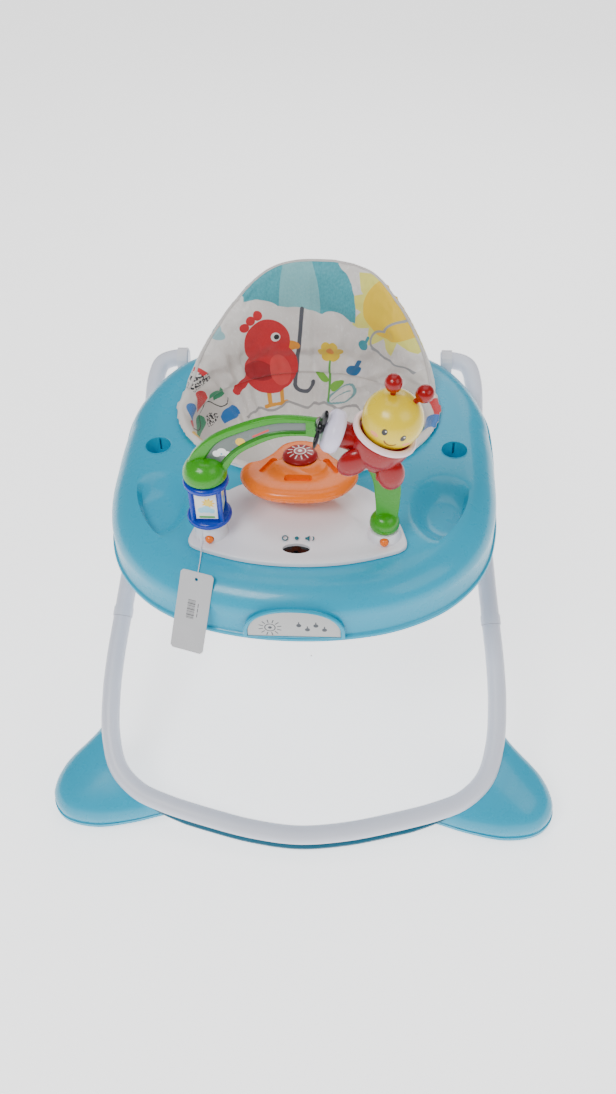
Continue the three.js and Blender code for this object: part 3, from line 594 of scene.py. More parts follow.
def stroke(x, y, ax, ay, bx, by, r):
    """A straight line with round ends."""
    ux, uy = bx - ax, by - ay
    dx, dy = x - ax, y - ay
    share = ((dx * ux + dy * uy) * (1 / (ux * ux + uy * uy))).high(0.0).low(1.0)
    return length(dx - share * ux, dy - share * uy) - r


def below(x, y, ax, ay, bx, by):
    """Negative under the line from a to b."""
    ux, uy = bx - ax, by - ay
    n = math.hypot(ux, uy)
    return ((y - ay) * (ux / n)) - ((x - ax) * (uy / n))


def rays(x, y, cx, cy, count, inner, outer, start=0.0):
    """A star with straight pointed rays."""
    dx, dy = x - cx, y - cy
    turn = (dy.op("ARCTAN2", dx) + start) * (count / (2 * math.pi))
    saw = (turn.op("FRACT") - 0.5).size() * 2.0
    return length(dx, dy) - (saw * (outer - inner) + inner)


def seat_cloth():
    s = Surface("printed seat cloth", "UV")
    x, y, _ = s.parts()
    flecks = s.noise(230, 3, s.coords, 0.7, stretch=(1.0, 0.5, 1.0))
    cloudy = s.noise(16, 3, s.coords)
    # Whitish flecks mixed into the cloth's colour: a painted glint standing in for the satin's shimmer.
    painted_glint = s.new("ShaderNodeMapRange", Value=flecks, From_Min=0.55, From_Max=0.66)
    painted_glint = Value(s.tree, painted_glint.outputs[0])
    ground = s.mix(cloudy, linear(220, 214, 210), linear(240, 235, 231))
    colour = s.mix(painted_glint * 0.55, ground, linear(250, 248, 246))

    def paint(distance, rgb, soft=0.0005):
        nonlocal colour
        colour = s.mix(distance.inside(soft), colour, rgb if not isinstance(rgb, tuple) else linear(*rgb))

    scratch = s.noise(420, 2, s.coords, 0.6, stretch=(1.0, 0.6, 1.0))
    teal = s.mix(scratch, linear(28, 134, 152), linear(92, 190, 202))
    light = s.mix(scratch, linear(104, 178, 186), linear(146, 206, 210))

    # the sun, its rays and the cloud in front of it
    paint(rays(x, y, 0.118, 0.508, 11, 0.046, 0.068, 0.3), (238, 232, 112))
    paint(disc(x, y, 0.120, 0.508, 0.044), (246, 205, 34))
    cloud = disc(x, y, 0.112, 0.455, 0.020)
    for cx, cy, r in ((0.138, 0.468, 0.026), (0.168, 0.458, 0.021), (0.190, 0.444, 0.016)):
        cloud = cloud.low(disc(x, y, cx, cy, r))
    cloud = cloud.low(oval(x, y, 0.150, 0.442, 0.050, 0.012))
    paint((cloud.size() - 0.0017), (158, 160, 164))

    # raindrops and a leaf
    for cx, cy, r, rgb in ((0.080, 0.444, 0.008, (60, 152, 168)), (0.063, 0.396, 0.0095, (20, 104, 160)),
                           (-0.135, 0.470, 0.007, (150, 196, 204)), (0.205, 0.396, 0.008, (60, 152, 168))):
        drop = disc(x, y, cx, cy, r).low(stroke(x, y, cx + 0.2 * r, cy, cx + 0.9 * r, cy + 1.7 * r,
                                                0.3 * r))
        paint(drop, rgb)
    leaf = oval(x, y, 0.046, 0.350, 0.026, 0.011, 0.6)
    paint(leaf.size() - 0.0013, (120, 168, 172))
    paint(stroke(x, y, 0.030, 0.340, 0.060, 0.360, 0.0007), (120, 168, 172))

    # the umbrella
    dome = disc(x, y, -0.015, 0.489, 0.081)
    for cx, cy, rx in ((-0.071, 0.497, 0.0245), (-0.0175, 0.483, 0.0305), (0.036, 0.476, 0.0235)):
        dome = dome.high(-oval(x, y, cx, cy, rx, 0.013, -0.2))
    dome = dome.high(-below(x, y, -0.096, 0.510, 0.062, 0.476))
    middle = oval(x, y, -0.0175, 0.487, 0.0305, 0.086, 0.0).high(dome)
    paint(dome, teal)
    paint(middle, light)
    pole = stroke(x, y, -0.014, 0.494, -0.028, 0.366, 0.0031)
    crook = (disc(x, y, -0.0145, 0.366, 0.0140).size() - 0.0031).high(y - 0.366)
    paint(pole.low(crook).low(disc(x, y, -0.0005, 0.367, 0.0031)), (84, 86, 96))
    paint(disc(x, y, -0.004, 0.568, 0.004), (70, 70, 78))

    # a plain bird on its perch
    body = oval(x, y, -0.064, 0.400, 0.041, 0.046, 0.12).low(disc(x, y, -0.070, 0.446, 0.036))
    body = body.low(stroke(x, y, -0.092, 0.398, -0.120, 0.376, 0.0085))
    for cx, cy in ((-0.092, 0.484), (-0.080, 0.489), (-0.102, 0.475)):
        body = body.low(disc(x, y, cx, cy, 0.007))
    for foot in (-0.070, -0.050):
        paint(stroke(x, y, foot, 0.360, foot, 0.336, 0.0035), (238, 160, 44))
        paint(stroke(x, y, foot - 0.008, 0.335, foot + 0.008, 0.335, 0.003), (238, 160, 44))
    paint(oval(x, y, -0.034, 0.436, 0.015, 0.008, -0.15), (238, 150, 34))
    feather = s.mix(scratch, linear(196, 26, 38), linear(222, 38, 48))
    paint(body, feather)
    paint(oval(x, y, -0.082, 0.396, 0.026, 0.016, -0.5), (170, 20, 34))
    paint(oval(x, y, -0.050, 0.392, 0.016, 0.028, 0.2), (226, 66, 66))
    paint(disc(x, y, -0.056, 0.452, 0.0072), (240, 238, 236))
    paint(disc(x, y, -0.0545, 0.452, 0.0042), (30, 28, 34))

    # a flower
    paint(stroke(x, y, 0.027, 0.410, 0.024, 0.338, 0.0018), (96, 170, 70))
    paint(oval(x, y, 0.037, 0.366, 0.014, 0.006, 0.7), (122, 190, 64))
    paint(oval(x, y, 0.014, 0.378, 0.013, 0.0055, 2.4), (122, 190, 64))
    petals = disc(x, y, 0.027, 0.424, 0.008)
    for k in range(6):
        a = 2 * math.pi * k / 6
        petals = petals.low(disc(x, y, 0.027 + 0.0115 * math.cos(a), 0.424 + 0.0115 * math.sin(a), 0.0075))
    paint(petals, (240, 204, 44))
    paint(disc(x, y, 0.027, 0.424, 0.0062), (232, 140, 40))

    # a wavy line of ground
    wave = (y - 0.330 - (x * 120.0).op("SINE") * 0.004).size() - 0.0022
    wave = wave.high(x.size() - 0.125)
    paint(wave, (166, 162, 162))

    # the side panels of the cloth
    across = x.size()
    side = below(across, y, 0.118, 0.334, 0.182, 0.452)
    speck = s.noise(330, 1, s.coords, 0.5)
    squiggle = Value(s.tree, s.new("ShaderNodeMapRange", Value=speck, From_Min=0.49,
                                   From_Max=0.51).outputs[0])
    scribble = s.mix(squiggle, linear(44, 42, 50), linear(224, 220, 216))
    paint(side, (224, 219, 214))
    red, green, blue, yellow = (208, 36, 46), (46, 150, 106), (28, 112, 190), (240, 190, 50)
    patches = (
        (-0.176, 0.418, 0.024, scribble), (-0.161, 0.431, 0.017, red),
        (-0.196, 0.392, 0.018, (206, 40, 46)), (-0.150, 0.380, 0.014, green),
        (-0.166, 0.386, 0.010, green), (-0.140, 0.338, 0.017, blue),
        (-0.210, 0.356, 0.020, green), (-0.176, 0.348, 0.013, scribble),
        (-0.232, 0.398, 0.016, blue), (-0.262, 0.386, 0.020, red),
        (-0.300, 0.398, 0.018, yellow), (-0.340, 0.388, 0.022, scribble),
        (-0.385, 0.396, 0.018, green), (-0.430, 0.388, 0.020, blue),
        (0.232, 0.418, 0.018, red), (0.262, 0.400, 0.022, blue),
        (0.196, 0.386, 0.012, scribble), (0.170, 0.366, 0.014, (240, 136, 44)),
        (0.216, 0.360, 0.016, green), (0.300, 0.394, 0.020, yellow),
        (0.342, 0.386, 0.020, red), (0.388, 0.396, 0.018, green),
        (0.432, 0.388, 0.020, blue),
    )
    for cx, cy, r, rgb in patches:
        blob = disc(x, y, cx, cy, r).high(below(x, y, cx - r, cy - 0.3 * r, cx + r, cy - 0.1 * r) * -1.0)
        paint(blob.high(side), rgb)
    strand = ((y - 0.372 - (x * 95.0).op("SINE") * 0.012).size() - 0.0011).high(side)
    paint(strand, (40, 40, 48))

    s.colour(colour)
    weave = s.new("ShaderNodeTexWave", Vector=s.coords, Scale=420.0, Distortion=0.6, Detail=1.0)
    crumple = s.noise(26, 4, s.coords, 0.55)
    height = Value(s.tree, weave.outputs["Fac"]) * 0.12 + crumple + flecks * 0.25
    s.bump(height, 0.45, 0.003)
    s.rough(0.42, 0.62, 90)
    s.set(Sheen_Weight=0.35, Sheen_Roughness=0.4, Specular_IOR_Level=0.6)
    return s.material


def plain_cloth():
    s = Surface("plain seat cloth")
    s.colour(s.mix(s.noise(20, 3), linear(198, 192, 190), linear(222, 217, 214)))
    weave = s.new("ShaderNodeTexWave", Vector=s.coords, Scale=420.0, Distortion=0.5, Detail=1.0)
    s.bump(Value(s.tree, weave.outputs["Fac"]) * 0.12 + s.noise(24, 4), 0.5, 0.003)
    s.rough(0.5, 0.7, 90)
    s.set(Sheen_Weight=0.3, Sheen_Roughness=0.4)
    return s.material


PRINTED = seat_cloth()
CLOTH = plain_cloth()
UNPRINTED = (3.0, 3.0)          # a place on every print's map that is far from its figures


def drawn(name, base, base_dark, draw, rough=(0.25, 0.35), soft=0.0003, plane=None):
    """A plastic or paper surface with a print drawn in metres, on its UV map or in the given plane."""
    s = Surface(name, "Object" if plane else "UV")
    x, y, z = s.parts()
    if plane:
        right, up, origin = (plane.col[i].to_3d() for i in (0, 1, 3))
        x, y = (x * axis.x + y * axis.y + z * axis.z - origin.dot(axis) for axis in (right, up))
    state = {"colour": s.mix(s.noise(20, 2), linear(*base_dark), linear(*base))}

    def paint(distance, rgb):
        state["colour"] = s.mix(distance.inside(soft), state["colour"], linear(*rgb))

    draw(s, x, y, paint)
    s.colour(state["colour"])
    s.rough(*rough)
    s.bump(s.noise(900, 2), 0.1, 0.0003)
    s.set(Coat_Weight=0.15)
    return s.material


def flat_uv(obj, matrix, across=(1, 0, 0), upward=(0, 0, 1), printed_side=None):
    """A UV map in metres: each vertex's place in the given frame, flattened. With a printed side
    given, the faces that look away from it stay plain."""
    inverse = matrix.inverted()
    layer = obj.data.uv_layers.new(name="print")
    a, b = Vector(across), Vector(upward)
    local = [inverse @ v.co for v in obj.data.vertices]
    for face in obj.data.polygons:
        plain = printed_side and (inverse.to_3x3() @ face.normal).dot(Vector(printed_side)) < 0
        for index in face.loop_indices:
            p = local[obj.data.loops[index].vertex_index]
            layer.data[index].uv = UNPRINTED if plain else (p.dot(a), p.dot(b))
    return obj


# ---------------------------------------------------------------- tray
TRAY_HALF = [
    (0, -256), (64, -251), (122, -236), (176, -206), (213, -167), (235, -125), (247, -72),
    (250, -5), (249, 60), (241, 120), (220, 180), (190, 225), (148, 254), (84, 268), (0, 271),
]
tray_outline = catmull(mm(both_halves(TRAY_HALF)), 1200, closed=True)
outline_angle = np.arctan2(tray_outline[:, 1] - SEAT_Y, tray_outline[:, 0])
outline_reach = np.hypot(tray_outline[:, 0], tray_outline[:, 1] - SEAT_Y)
order = np.argsort(outline_angle)


def tray_reach(angle):
    a = (angle + math.pi) % (2 * math.pi) - math.pi
    return float(np.interp(a, outline_angle[order], outline_reach[order], period=2 * math.pi))


def seat_reach(angle):
    return 1 / math.hypot(math.cos(angle) / SEAT_HALF_WIDTH, math.sin(angle) / SEAT_HALF_LENGTH)


def around_seat(angle, reach, z):
    return (reach * math.cos(angle), SEAT_Y + reach * math.sin(angle), z)


def smoothstep(value, low, high):
    t = min(max((value - low) / (high - low), 0), 1)
    return t * t * (3 - 2 * t)


def well_depth(x, y):
    across = (abs(x) - 0.180) / 0.047
    along = (y + 0.100) / 0.066
    reach = math.hypot(across, along)
    return 0.0155 * (1 - smoothstep(reach, 0.42, 1.0))


def tray_section(angle):
    inner = seat_reach(angle) - 0.001
    outer = tray_reach(angle)
    crown = min(CROWN, 0.6 * (outer - inner))
    rear = smoothstep(around_seat(angle, outer, 0)[1], -0.020, 0.112)
    bottom = RIM_DEEP_Z + (RIM_SHALLOW_Z - RIM_DEEP_Z) * rear
    shoulder = max(RIM_SHOULDER_Z, bottom + 0.008)
    deck_end = outer - crown

    def over(wall):
        points = [(inner, DECK_Z - wall - (0 if wall else 0.001))]
        for k in range(30):
            reach = inner + (0.02 + 0.98 * k / 29) * (deck_end - inner)
            x, y, _ = around_seat(angle, reach, 0)
            points.append((reach, DECK_Z - wall - well_depth(x, y)))
        for k in range(1, 13):
            turn = 0.5 * math.pi * (1 - k / 12)
            points.append((deck_end + (crown - wall) * math.cos(turn),
                           shoulder + (DECK_Z - wall - shoulder) * math.sin(turn)))
        return points

    lip = [
        (outer - 0.0004, bottom + 0.0095), (outer + 0.0006, bottom + 0.0078),
        (outer + 0.0026, bottom + 0.0068),
        (outer + 0.0036, bottom + 0.0052), (outer + 0.0036, bottom + 0.0016), (outer + 0.0024, bottom),
    ]
    profile = over(0) + lip + [(outer - 0.001 - SKIN, bottom)] + over(SKIN)[::-1]
    return [around_seat(angle, reach, z) for reach, z in profile]


SLICES = 300
tray = solid("tray", skin([tray_section(2 * math.pi * i / SLICES) for i in range(SLICES)], closed=True))
sockets = []
for side in (-1, 1):
    bore = turned(drum(0.017, -0.026, 0.01), 64, at(side * CUP_AT[0], CUP_AT[1], DECK_Z))
    sockets.append(solid("socket_bore", bore))
boolean(tray, *sockets)
creased(tray, 32)
place(tray, "root", "aqua", AQUA, "tray_shell")

# The sockets are cups with a keyway at the back, under a rolled edge.
for side, label in ((-1, "left"), (1, "right")):
    cup = turned([
        (0, -0.029), (0.0202, -0.029), (0.0202, -0.0032), (0.0172, -0.0005), (0.0178, 0.0004),
        (0.0168, 0.0006),
        (0.0160, -0.002), (0.0150, -0.0255), (0, -0.0258),
    ], 64, at(side * CUP_AT[0], CUP_AT[1], DECK_Z))
    socket = solid("accessory_cup_" + label, cup)
    key = solid("key", extruded(box(0.0014, 0.004), 0.020))
    key.matrix_world = at(side * CUP_AT[0], CUP_AT[1] + 0.0155, DECK_Z - 0.020)
    boolean(socket, key)
    creased(socket)
    place(socket, "root", "aqua", AQUA)


# ---------------------------------------------------------------- badge
def sun_mark(cx, cy, size):
    """A line-drawn sun: a ring with short strokes around it."""
    def draw(s, x, y, paint, rgb):
        paint(disc(x, y, cx, cy, 0.42 * size).size() - 0.045 * size, rgb)
        mark = disc(x, y, cx, cy, 0.16 * size)
        for k in range(12):
            a = 2 * math.pi * k / 12 + 0.2
            mark = mark.low(stroke(x, y, cx + 0.62 * size * math.cos(a), cy + 0.62 * size * math.sin(a),
                                   cx + 0.92 * size * math.cos(a), cy + 0.92 * size * math.sin(a),
                                   0.045 * size))
        paint(mark, rgb)
    return draw


def badge_print(s, x, y, paint):
    sun_mark(-0.028, 0.0175, 0.0145)(s, x, y, paint, (60, 66, 74))
    for cx, cy, r in ((0.006, 0.022, 0.0030), (0.016, 0.015, 0.0030), (0.026, 0.022, 0.0030),
                      (0.036, 0.015, 0.0030)):
        drop = disc(x, y, cx, cy, r).low(stroke(x, y, cx, cy + 0.2 * r, cx, cy + 1.8 * r, 0.25 * r))
        paint(drop, (60, 66, 74))


badge_half = [(60, 0), (60, 12), (57.5, 20), (52, 29), (43.5, 36.5), (33, 41.8), (20, 45.2), (8, 46.4)]
badge_line = mm(badge_half + [(-x, y) for x, y in reversed(badge_half)])
badge_smooth = catmull(badge_line[1:-1], 60)[:, :2]
badge_smooth = np.vstack([badge_line[0][:2], badge_smooth, badge_line[-1][:2]])
stand = at(0, -0.2556, 0.347) @ about("X", QUARTER)
frame_plate = solid("badge_frame", moved(extruded(badge_smooth, 0.0056, 0.0016), stand))
recess = solid("recess", moved(extruded(badge_smooth * 0.925 + [0, 0.0022], 0.01, 0.0008),
                               stand @ at(0, 0, 0.0036)))
boolean(frame_plate, recess)
creased(frame_plate)
place(frame_plate, "root", "aqua", AQUA)
face_plate = solid("badge_face",
                   moved(extruded(badge_smooth * 0.915 + [0, 0.0024], 0.0014, 0.0004),
                         stand @ at(0, 0, 0.0032)))
flat_uv(face_plate, stand, (1, 0, 0), (0, 1, 0))
place(face_plate, "root", "white_plastic", drawn(
    "badge print", (196, 196, 195), (180, 180, 180), badge_print, (0.3, 0.42)), "badge_plate")


# ---------------------------------------------------------------- seat
def pad_top(angle):
    power = 4.4 if math.cos(angle) > 0 else 2.9
    fall = min(1.0, abs(1.02 * math.cos(angle)) ** power)
    if math.sin(angle) < 0:
        fall = 1.0
    return SEAT_TOP_Z - fall * (SEAT_TOP_Z - 0.4195)


def seat_section(angle, inflate=0.0):
    """One slice of the padded cloth: up its inside, over the top and down outside to the ring's lip."""
    edge = seat_reach(angle)
    top = pad_top(angle)
    rise = top - 0.4152
    tall = smoothstep(rise, 0.004, 0.05)
    lean = 0.05 * rise
    thick = 0.007 + (0.0095 - inflate) * tall
    middle = -0.003 + 0.003 * tall
    points = []
    for z in (0.384, 0.390, 0.398, 0.406):
        points.append((-0.0178 + 0.002 * (z - 0.384) / 0.022, z))
    for k in range(9):
        share = k / 8
        bulge = math.sin(math.pi * min(1.0, 0.15 + 0.85 * share)) ** 0.5
        points.append((middle - thick * (0.72 + 0.28 * bulge) * (1 - 0.35 * share ** 4) + lean * share,
                       0.4135 + (rise - 0.0045) * share))
    points.append((middle - 0.35 * thick + lean, top - 0.0012))
    points.append((middle + 0.10 * thick + lean, top))
    points.append((middle + 0.50 * thick + lean, top - 0.0012))
    for k in range(8, -1, -1):
        share = k / 8
        points.append((middle + thick * (0.75 + 0.25 * math.sin(math.pi * share)) * (1 - 0.3 * share ** 4)
                       + 0.004 * (1 - tall) + lean * share, 0.4148 + (rise - 0.006) * share))
    points.append((-0.0022, 0.4146))
    points.append((-0.0070, 0.4128))
    points.append((-0.0080, 0.3850))
    return [around_seat(angle, edge + offset, z) for offset, z in points]


def arc_table():
    angles = np.radians(np.linspace(-90, 270, 1441))
    reach = np.array([seat_reach(a) - 0.009 for a in angles])
    x, y = reach * np.cos(angles), reach * np.sin(angles)
    s = np.concatenate([[0], np.cumsum(np.hypot(np.diff(x), np.diff(y)))])
    middle = np.interp(math.pi / 2, angles, s)
    return angles, middle - s


ARC_ANGLES, ARC = arc_table()
# Folds in the cloth: the ends as (distance along the wall, height), the width and the depth.
FOLDS = [
    ((-0.118, 0.330), (-0.176, 0.470), 0.0075, 0.0060), ((-0.104, 0.330), (-0.146, 0.500), 0.0060, 0.0042),
    ((-0.088, 0.325), (-0.110, 0.430), 0.0050, 0.0030), ((-0.128, 0.335), (-0.205, 0.420), 0.0065, 0.0050),
    ((0.030, 0.325), (0.120, 0.470), 0.0075, 0.0062), ((0.050, 0.325), (0.178, 0.452), 0.0080, 0.0068),
    ((0.072, 0.325), (0.200, 0.410), 0.0070, 0.0058), ((0.016, 0.330), (0.070, 0.500), 0.0055, 0.0036),
    ((0.001, 0.325), (0.006, 0.560), 0.0050, 0.0034), ((-0.040, 0.320), (-0.052, 0.420), 0.0050, 0.0022),
    ((0.092, 0.330), (0.230, 0.395), 0.0065, 0.0050), ((-0.140, 0.335), (-0.235, 0.392), 0.0060, 0.0042),
]


def along_wall(x, y):
    angle = np.arctan2(y - SEAT_Y, x)
    angle = np.where(angle < -math.pi / 2, angle + 2 * math.pi, angle)
    return np.interp(angle, ARC_ANGLES, ARC), angle


def crumple(obj, hanging=False):
    """Presses the folds into the padded wall or the hanging sling, and gives it a slight waviness."""
    co = np.array([v.co for v in obj.data.vertices], float)
    u, angle = along_wall(co[:, 0], co[:, 1])
    z = co[:, 2]
    push = np.zeros(len(co))
    for (u0, z0), (u1, z1), width, depth in FOLDS:
        du, dz = u1 - u0, z1 - z0
        share = np.clip(((u - u0) * du + (z - z0) * dz) / (du * du + dz * dz), 0, 1)
        far = np.hypot(u - u0 - share * du, z - z0 - share * dz)
        valley = np.exp(-(far / width) ** 2)
        ridge = 0.55 * np.exp(-((far - 1.9 * width) / width) ** 2)
        push += depth * (1 - 0.75 * share) * (valley - ridge)
    push += 0.0011 * np.sin(u * 74 + 2.1 * np.sin(z * 51)) * np.sin(z * 66 + 1.3 * np.sin(u * 39))
    if hanging:
        push *= 1.5 * np.clip((0.3865 - z) / 0.02, 0, 1)
    else:
        inner = np.hypot(co[:, 0] / SEAT_HALF_WIDTH, (co[:, 1] - SEAT_Y) / SEAT_HALF_LENGTH)
        push *= 1.5 * np.clip((1.02 - inner) / 0.05, 0, 1) * np.clip((z - 0.386) / 0.012, 0, 1)
    co[:, 0] += push * np.cos(angle)
    co[:, 1] += push * np.sin(angle)
    for vertex, place_at in zip(obj.data.vertices, co):
        vertex.co = place_at
    return obj


def wall_uv(obj):
    """The print's UV map: along the seat's wall, and up, in metres. The outer side is unprinted."""
    layer = obj.data.uv_layers.new(name="print")
    co = np.array([v.co for v in obj.data.vertices], float)
    u, _ = along_wall(co[:, 0], co[:, 1])
    loops = np.empty(len(obj.data.loops), int)
    obj.data.loops.foreach_get("vertex_index", loops)
    uv = np.column_stack([u[loops], co[loops, 2]])
    outer, sides = [], []
    for face in obj.data.polygons:
        reach = math.hypot(face.center.x, face.center.y - SEAT_Y)
        away = (face.normal.x * face.center.x + face.normal.y * (face.center.y - SEAT_Y)) / reach
        outer.append(away > 0.6)
        sides.append(face.loop_total)
    uv[np.repeat(outer, sides)] = UNPRINTED
    layer.data.foreach_set("uv", uv.astype(np.float32).ravel())
    return obj


def puff(obj, voxel=0.0042, pressure=4.0, cap=0.006):
    """Swells a padded piece with a cloth simulation, as far as the cap."""
    remesh = obj.modifiers.new("voxels", "REMESH")
    remesh.mode = "VOXEL"
    remesh.voxel_size = voxel
    apply_modifiers(obj)
    rest = np.array([v.co for v in obj.data.vertices], float)
    pinned = obj.vertex_groups.new(name="held")
    pinned.add([i for i, p in enumerate(rest) if p[2] < 0.4165], 1.0, "REPLACE")
    cloth = obj.modifiers.new("cloth", "CLOTH")
    cloth.settings.use_pressure = True
    cloth.settings.uniform_pressure_force = pressure
    cloth.settings.vertex_group_mass = "held"
    cloth.settings.effector_weights.gravity = 0
    cloth.settings.quality = 5
    cloth.point_cache.frame_start = 1
    cloth.point_cache.frame_end = 20
    scene = bpy.context.scene
    for number in range(1, 21):
        scene.frame_set(number)
    depsgraph = bpy.context.evaluated_depsgraph_get()
    moved_mesh = obj.evaluated_get(depsgraph).to_mesh()
    swollen = np.array([v.co for v in moved_mesh.vertices], float)
    obj.evaluated_get(depsgraph).to_mesh_clear()
    obj.modifiers.clear()
    scene.frame_set(1)
    step = swollen - rest
    far = np.linalg.norm(step, axis=1)
    step *= np.minimum(1, cap / np.maximum(far, 1e-9))[:, None]
    for vertex, point in zip(obj.data.vertices, rest + step):
        vertex.co = point
    obj.vertex_groups.clear()
    return obj


WALL_SLICES = 220
seat = solid("seat_cloth", skin(
    [seat_section(2 * math.pi * i / WALL_SLICES, 0.002) for i in range(WALL_SLICES)],
    closed=True))
puff(seat)
subdivide(seat)
crumple(seat)
wall_uv(seat)
seat.data.shade_smooth()
place(seat, "root", "fabric", PRINTED, "seat_ring", "seat_back_pad")


def crest(obj, start, stop, count=150):
    """The line along the top of a padded wall, from its finished mesh."""
    co = np.array([v.co for v in obj.data.vertices], float)
    angle = np.arctan2(co[:, 1] - SEAT_Y, co[:, 0])
    line = []
    for a in np.radians(np.linspace(start, stop, count)):
        near = co[np.abs(angle - a) < 0.02]
        line.append(near[near[:, 2] > near[:, 2].max() - 0.0012].mean(axis=0))
    window = np.ones(7) / 7
    padded_line = np.pad(line, ((3, 3), (0, 0)), mode="edge")
    return np.stack([np.convolve(padded_line[:, k], window, "valid") for k in range(3)], axis=1)


# Piping along the top edge of the padded back, which a voxel mesh is too coarse to hold.
piping = solid("seat_piping", tube(spaced(crest(seat, 10, 170), 220), 0.0021, 10))
place(piping, "root", "fabric", CLOTH)

# The sling below the ring, with bound leg openings.
BAG = [(0.3875, 0.1668, 0.1285), (0.372, 0.1655, 0.1270), (0.340, 0.1600, 0.1240), (0.310, 0.1520, 0.1190),
       (0.285, 0.1430, 0.1120), (0.258, 0.1300, 0.1030), (0.235, 0.1160, 0.0920), (0.215, 0.0990, 0.0790),
       (0.200, 0.0820, 0.0660), (0.189, 0.0610, 0.0490), (0.183, 0.0350, 0.0280), (0.182, 0.0100, 0.0080)]


def bag_rings(inset, drop):
    rings = []
    for z, half_width, half_length in BAG:
        ring = []
        for i in range(120):
            a = 2 * math.pi * i / 120
            ring.append(((half_width - inset) * math.cos(a), SEAT_Y + (half_length - inset) * math.sin(a),
                         z + drop))
        rings.append(ring)
    return rings


outside, inside = bag_rings(0, 0), bag_rings(0.003, 0.003)
inside[0] = [(x, y, z - 0.003) for x, y, z in inside[0]]
bag_verts, bag_faces = skin(inside[::-1] + outside)
sling = mesh_object("seat_sling", bag_verts, outward(bag_verts, bag_faces))
legs = []
for side in (-1, 1):
    legs.append(solid("leg_hole", ellipsoid((0.046, 0.060, 0.046), at(side * 0.092, 0.022, 0.226))))
subdivide(sling)
crumple(sling, hanging=True)
boolean(sling, *legs)
wall_uv(sling)
creased(sling, 50)
place(sling, "root", "fabric", PRINTED, "seat_bag")
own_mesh(sling)


# ---------------------------------------------------------------- frames
def on_front_slope(x, reach, above=0.0):
    dy = (FRONT_BAR[0] - PIVOT[0]) / FRONT_REACH
    dz = (FRONT_BAR[1] - PIVOT[1]) / FRONT_REACH
    return (x, PIVOT[0] + reach * dy - above * dz, PIVOT[1] + reach * dz - above * dy)


def slope_line(line, above=0.0):
    return [on_front_slope(x / 1000, reach / 1000, above) for x, reach in line]


def whole_width(points):
    return list(points) + [(-x, y, z) for x, y, z in reversed(points[:-1])]


LEG_LINE = [(187, 0), (208, 0), (226, 8), (234, 32), (236, 100), (240, 170), (244.5, 250), (251, 330),
            (257, 395)]
BAR_LINE = [(257, 395.4), (262, 450), (264, 505), (260, 560), (246, 604), (218, 632), (184, 647),
            (120, 665), (60, 678), (0, FRONT_REACH * 1000)]
leg_path = spaced(catmull(slope_line(LEG_LINE), 240), 130)
for side, label in SIDES:
    leg = tube(leg_path, FRONT_TUBE, 28)
    collar = tube(leg_path[-5:], FRONT_TUBE + 0.0012, 28)
    if side < 0:
        leg, collar = flipped(leg), flipped(collar)
    place(creased(solid("upper_leg_" + label, leg), 50), "front_frame", "white_tube", TUBE,
          "leg_tube_" + label)
    place(creased(solid("leg_collar_" + label, collar), 50), "front_frame", "white_tube", TUBE)
bar_path = spaced(catmull(whole_width(slope_line(BAR_LINE)), 900), 420)
place(creased(solid("front_bar", tube(bar_path, FRONT_TUBE, 28)), 50),
      "front_frame", "white_tube", TUBE, "front_frame_tube")

# A strip of teal trim that follows the back and the underside of the front frame.
under = np.clip((np.abs(bar_path[:, 0]) - 0.15) / 0.1, 0, 1)[:, None]
trim_path = bar_path + (1 - under) * np.array([0, -0.0010, -0.0195]) + under * np.array([0, 0.0060,
        -0.0150])
trim_section = [(-0.0068, -0.0055), (0.0068, -0.0055), (0.0080, 0.0), (0.0062, 0.0075), (-0.0062, 0.0075),
                (-0.0080, 0.0)]
place(creased(solid("front_trim", tube(trim_path[14:-14], 0, section=trim_section)), 40),
      "front_frame", "grip_rubber", RUBBER, "front_grip_strip")

CROSSING = on_front_slope(0.2445, 0.250)
REAR_LINE = [
    (158, -152, 359.8), (165, -138, 352), (188, -55, 306.2), (212, CROSSING[1] * 1000, CROSSING[2] * 1000),
    (214, 120, CROSSING[2] * 1000 - 62), (216, 220, CROSSING[2] * 1000 - 134.5), (214, 270, 84),
    (204, 297, 64), (180, 314, 52), (120, 326, 43), (60, 331, 39.5), (0, 332, 38.5),
]
rear_path = spaced(catmull(whole_width(mm(REAR_LINE)), 1200), 480)
place(creased(solid("rear_bar", tube(rear_path, REAR_TUBE, 26)), 50), "rear_frame", "white_tube", TUBE,
      "rear_frame_tube")


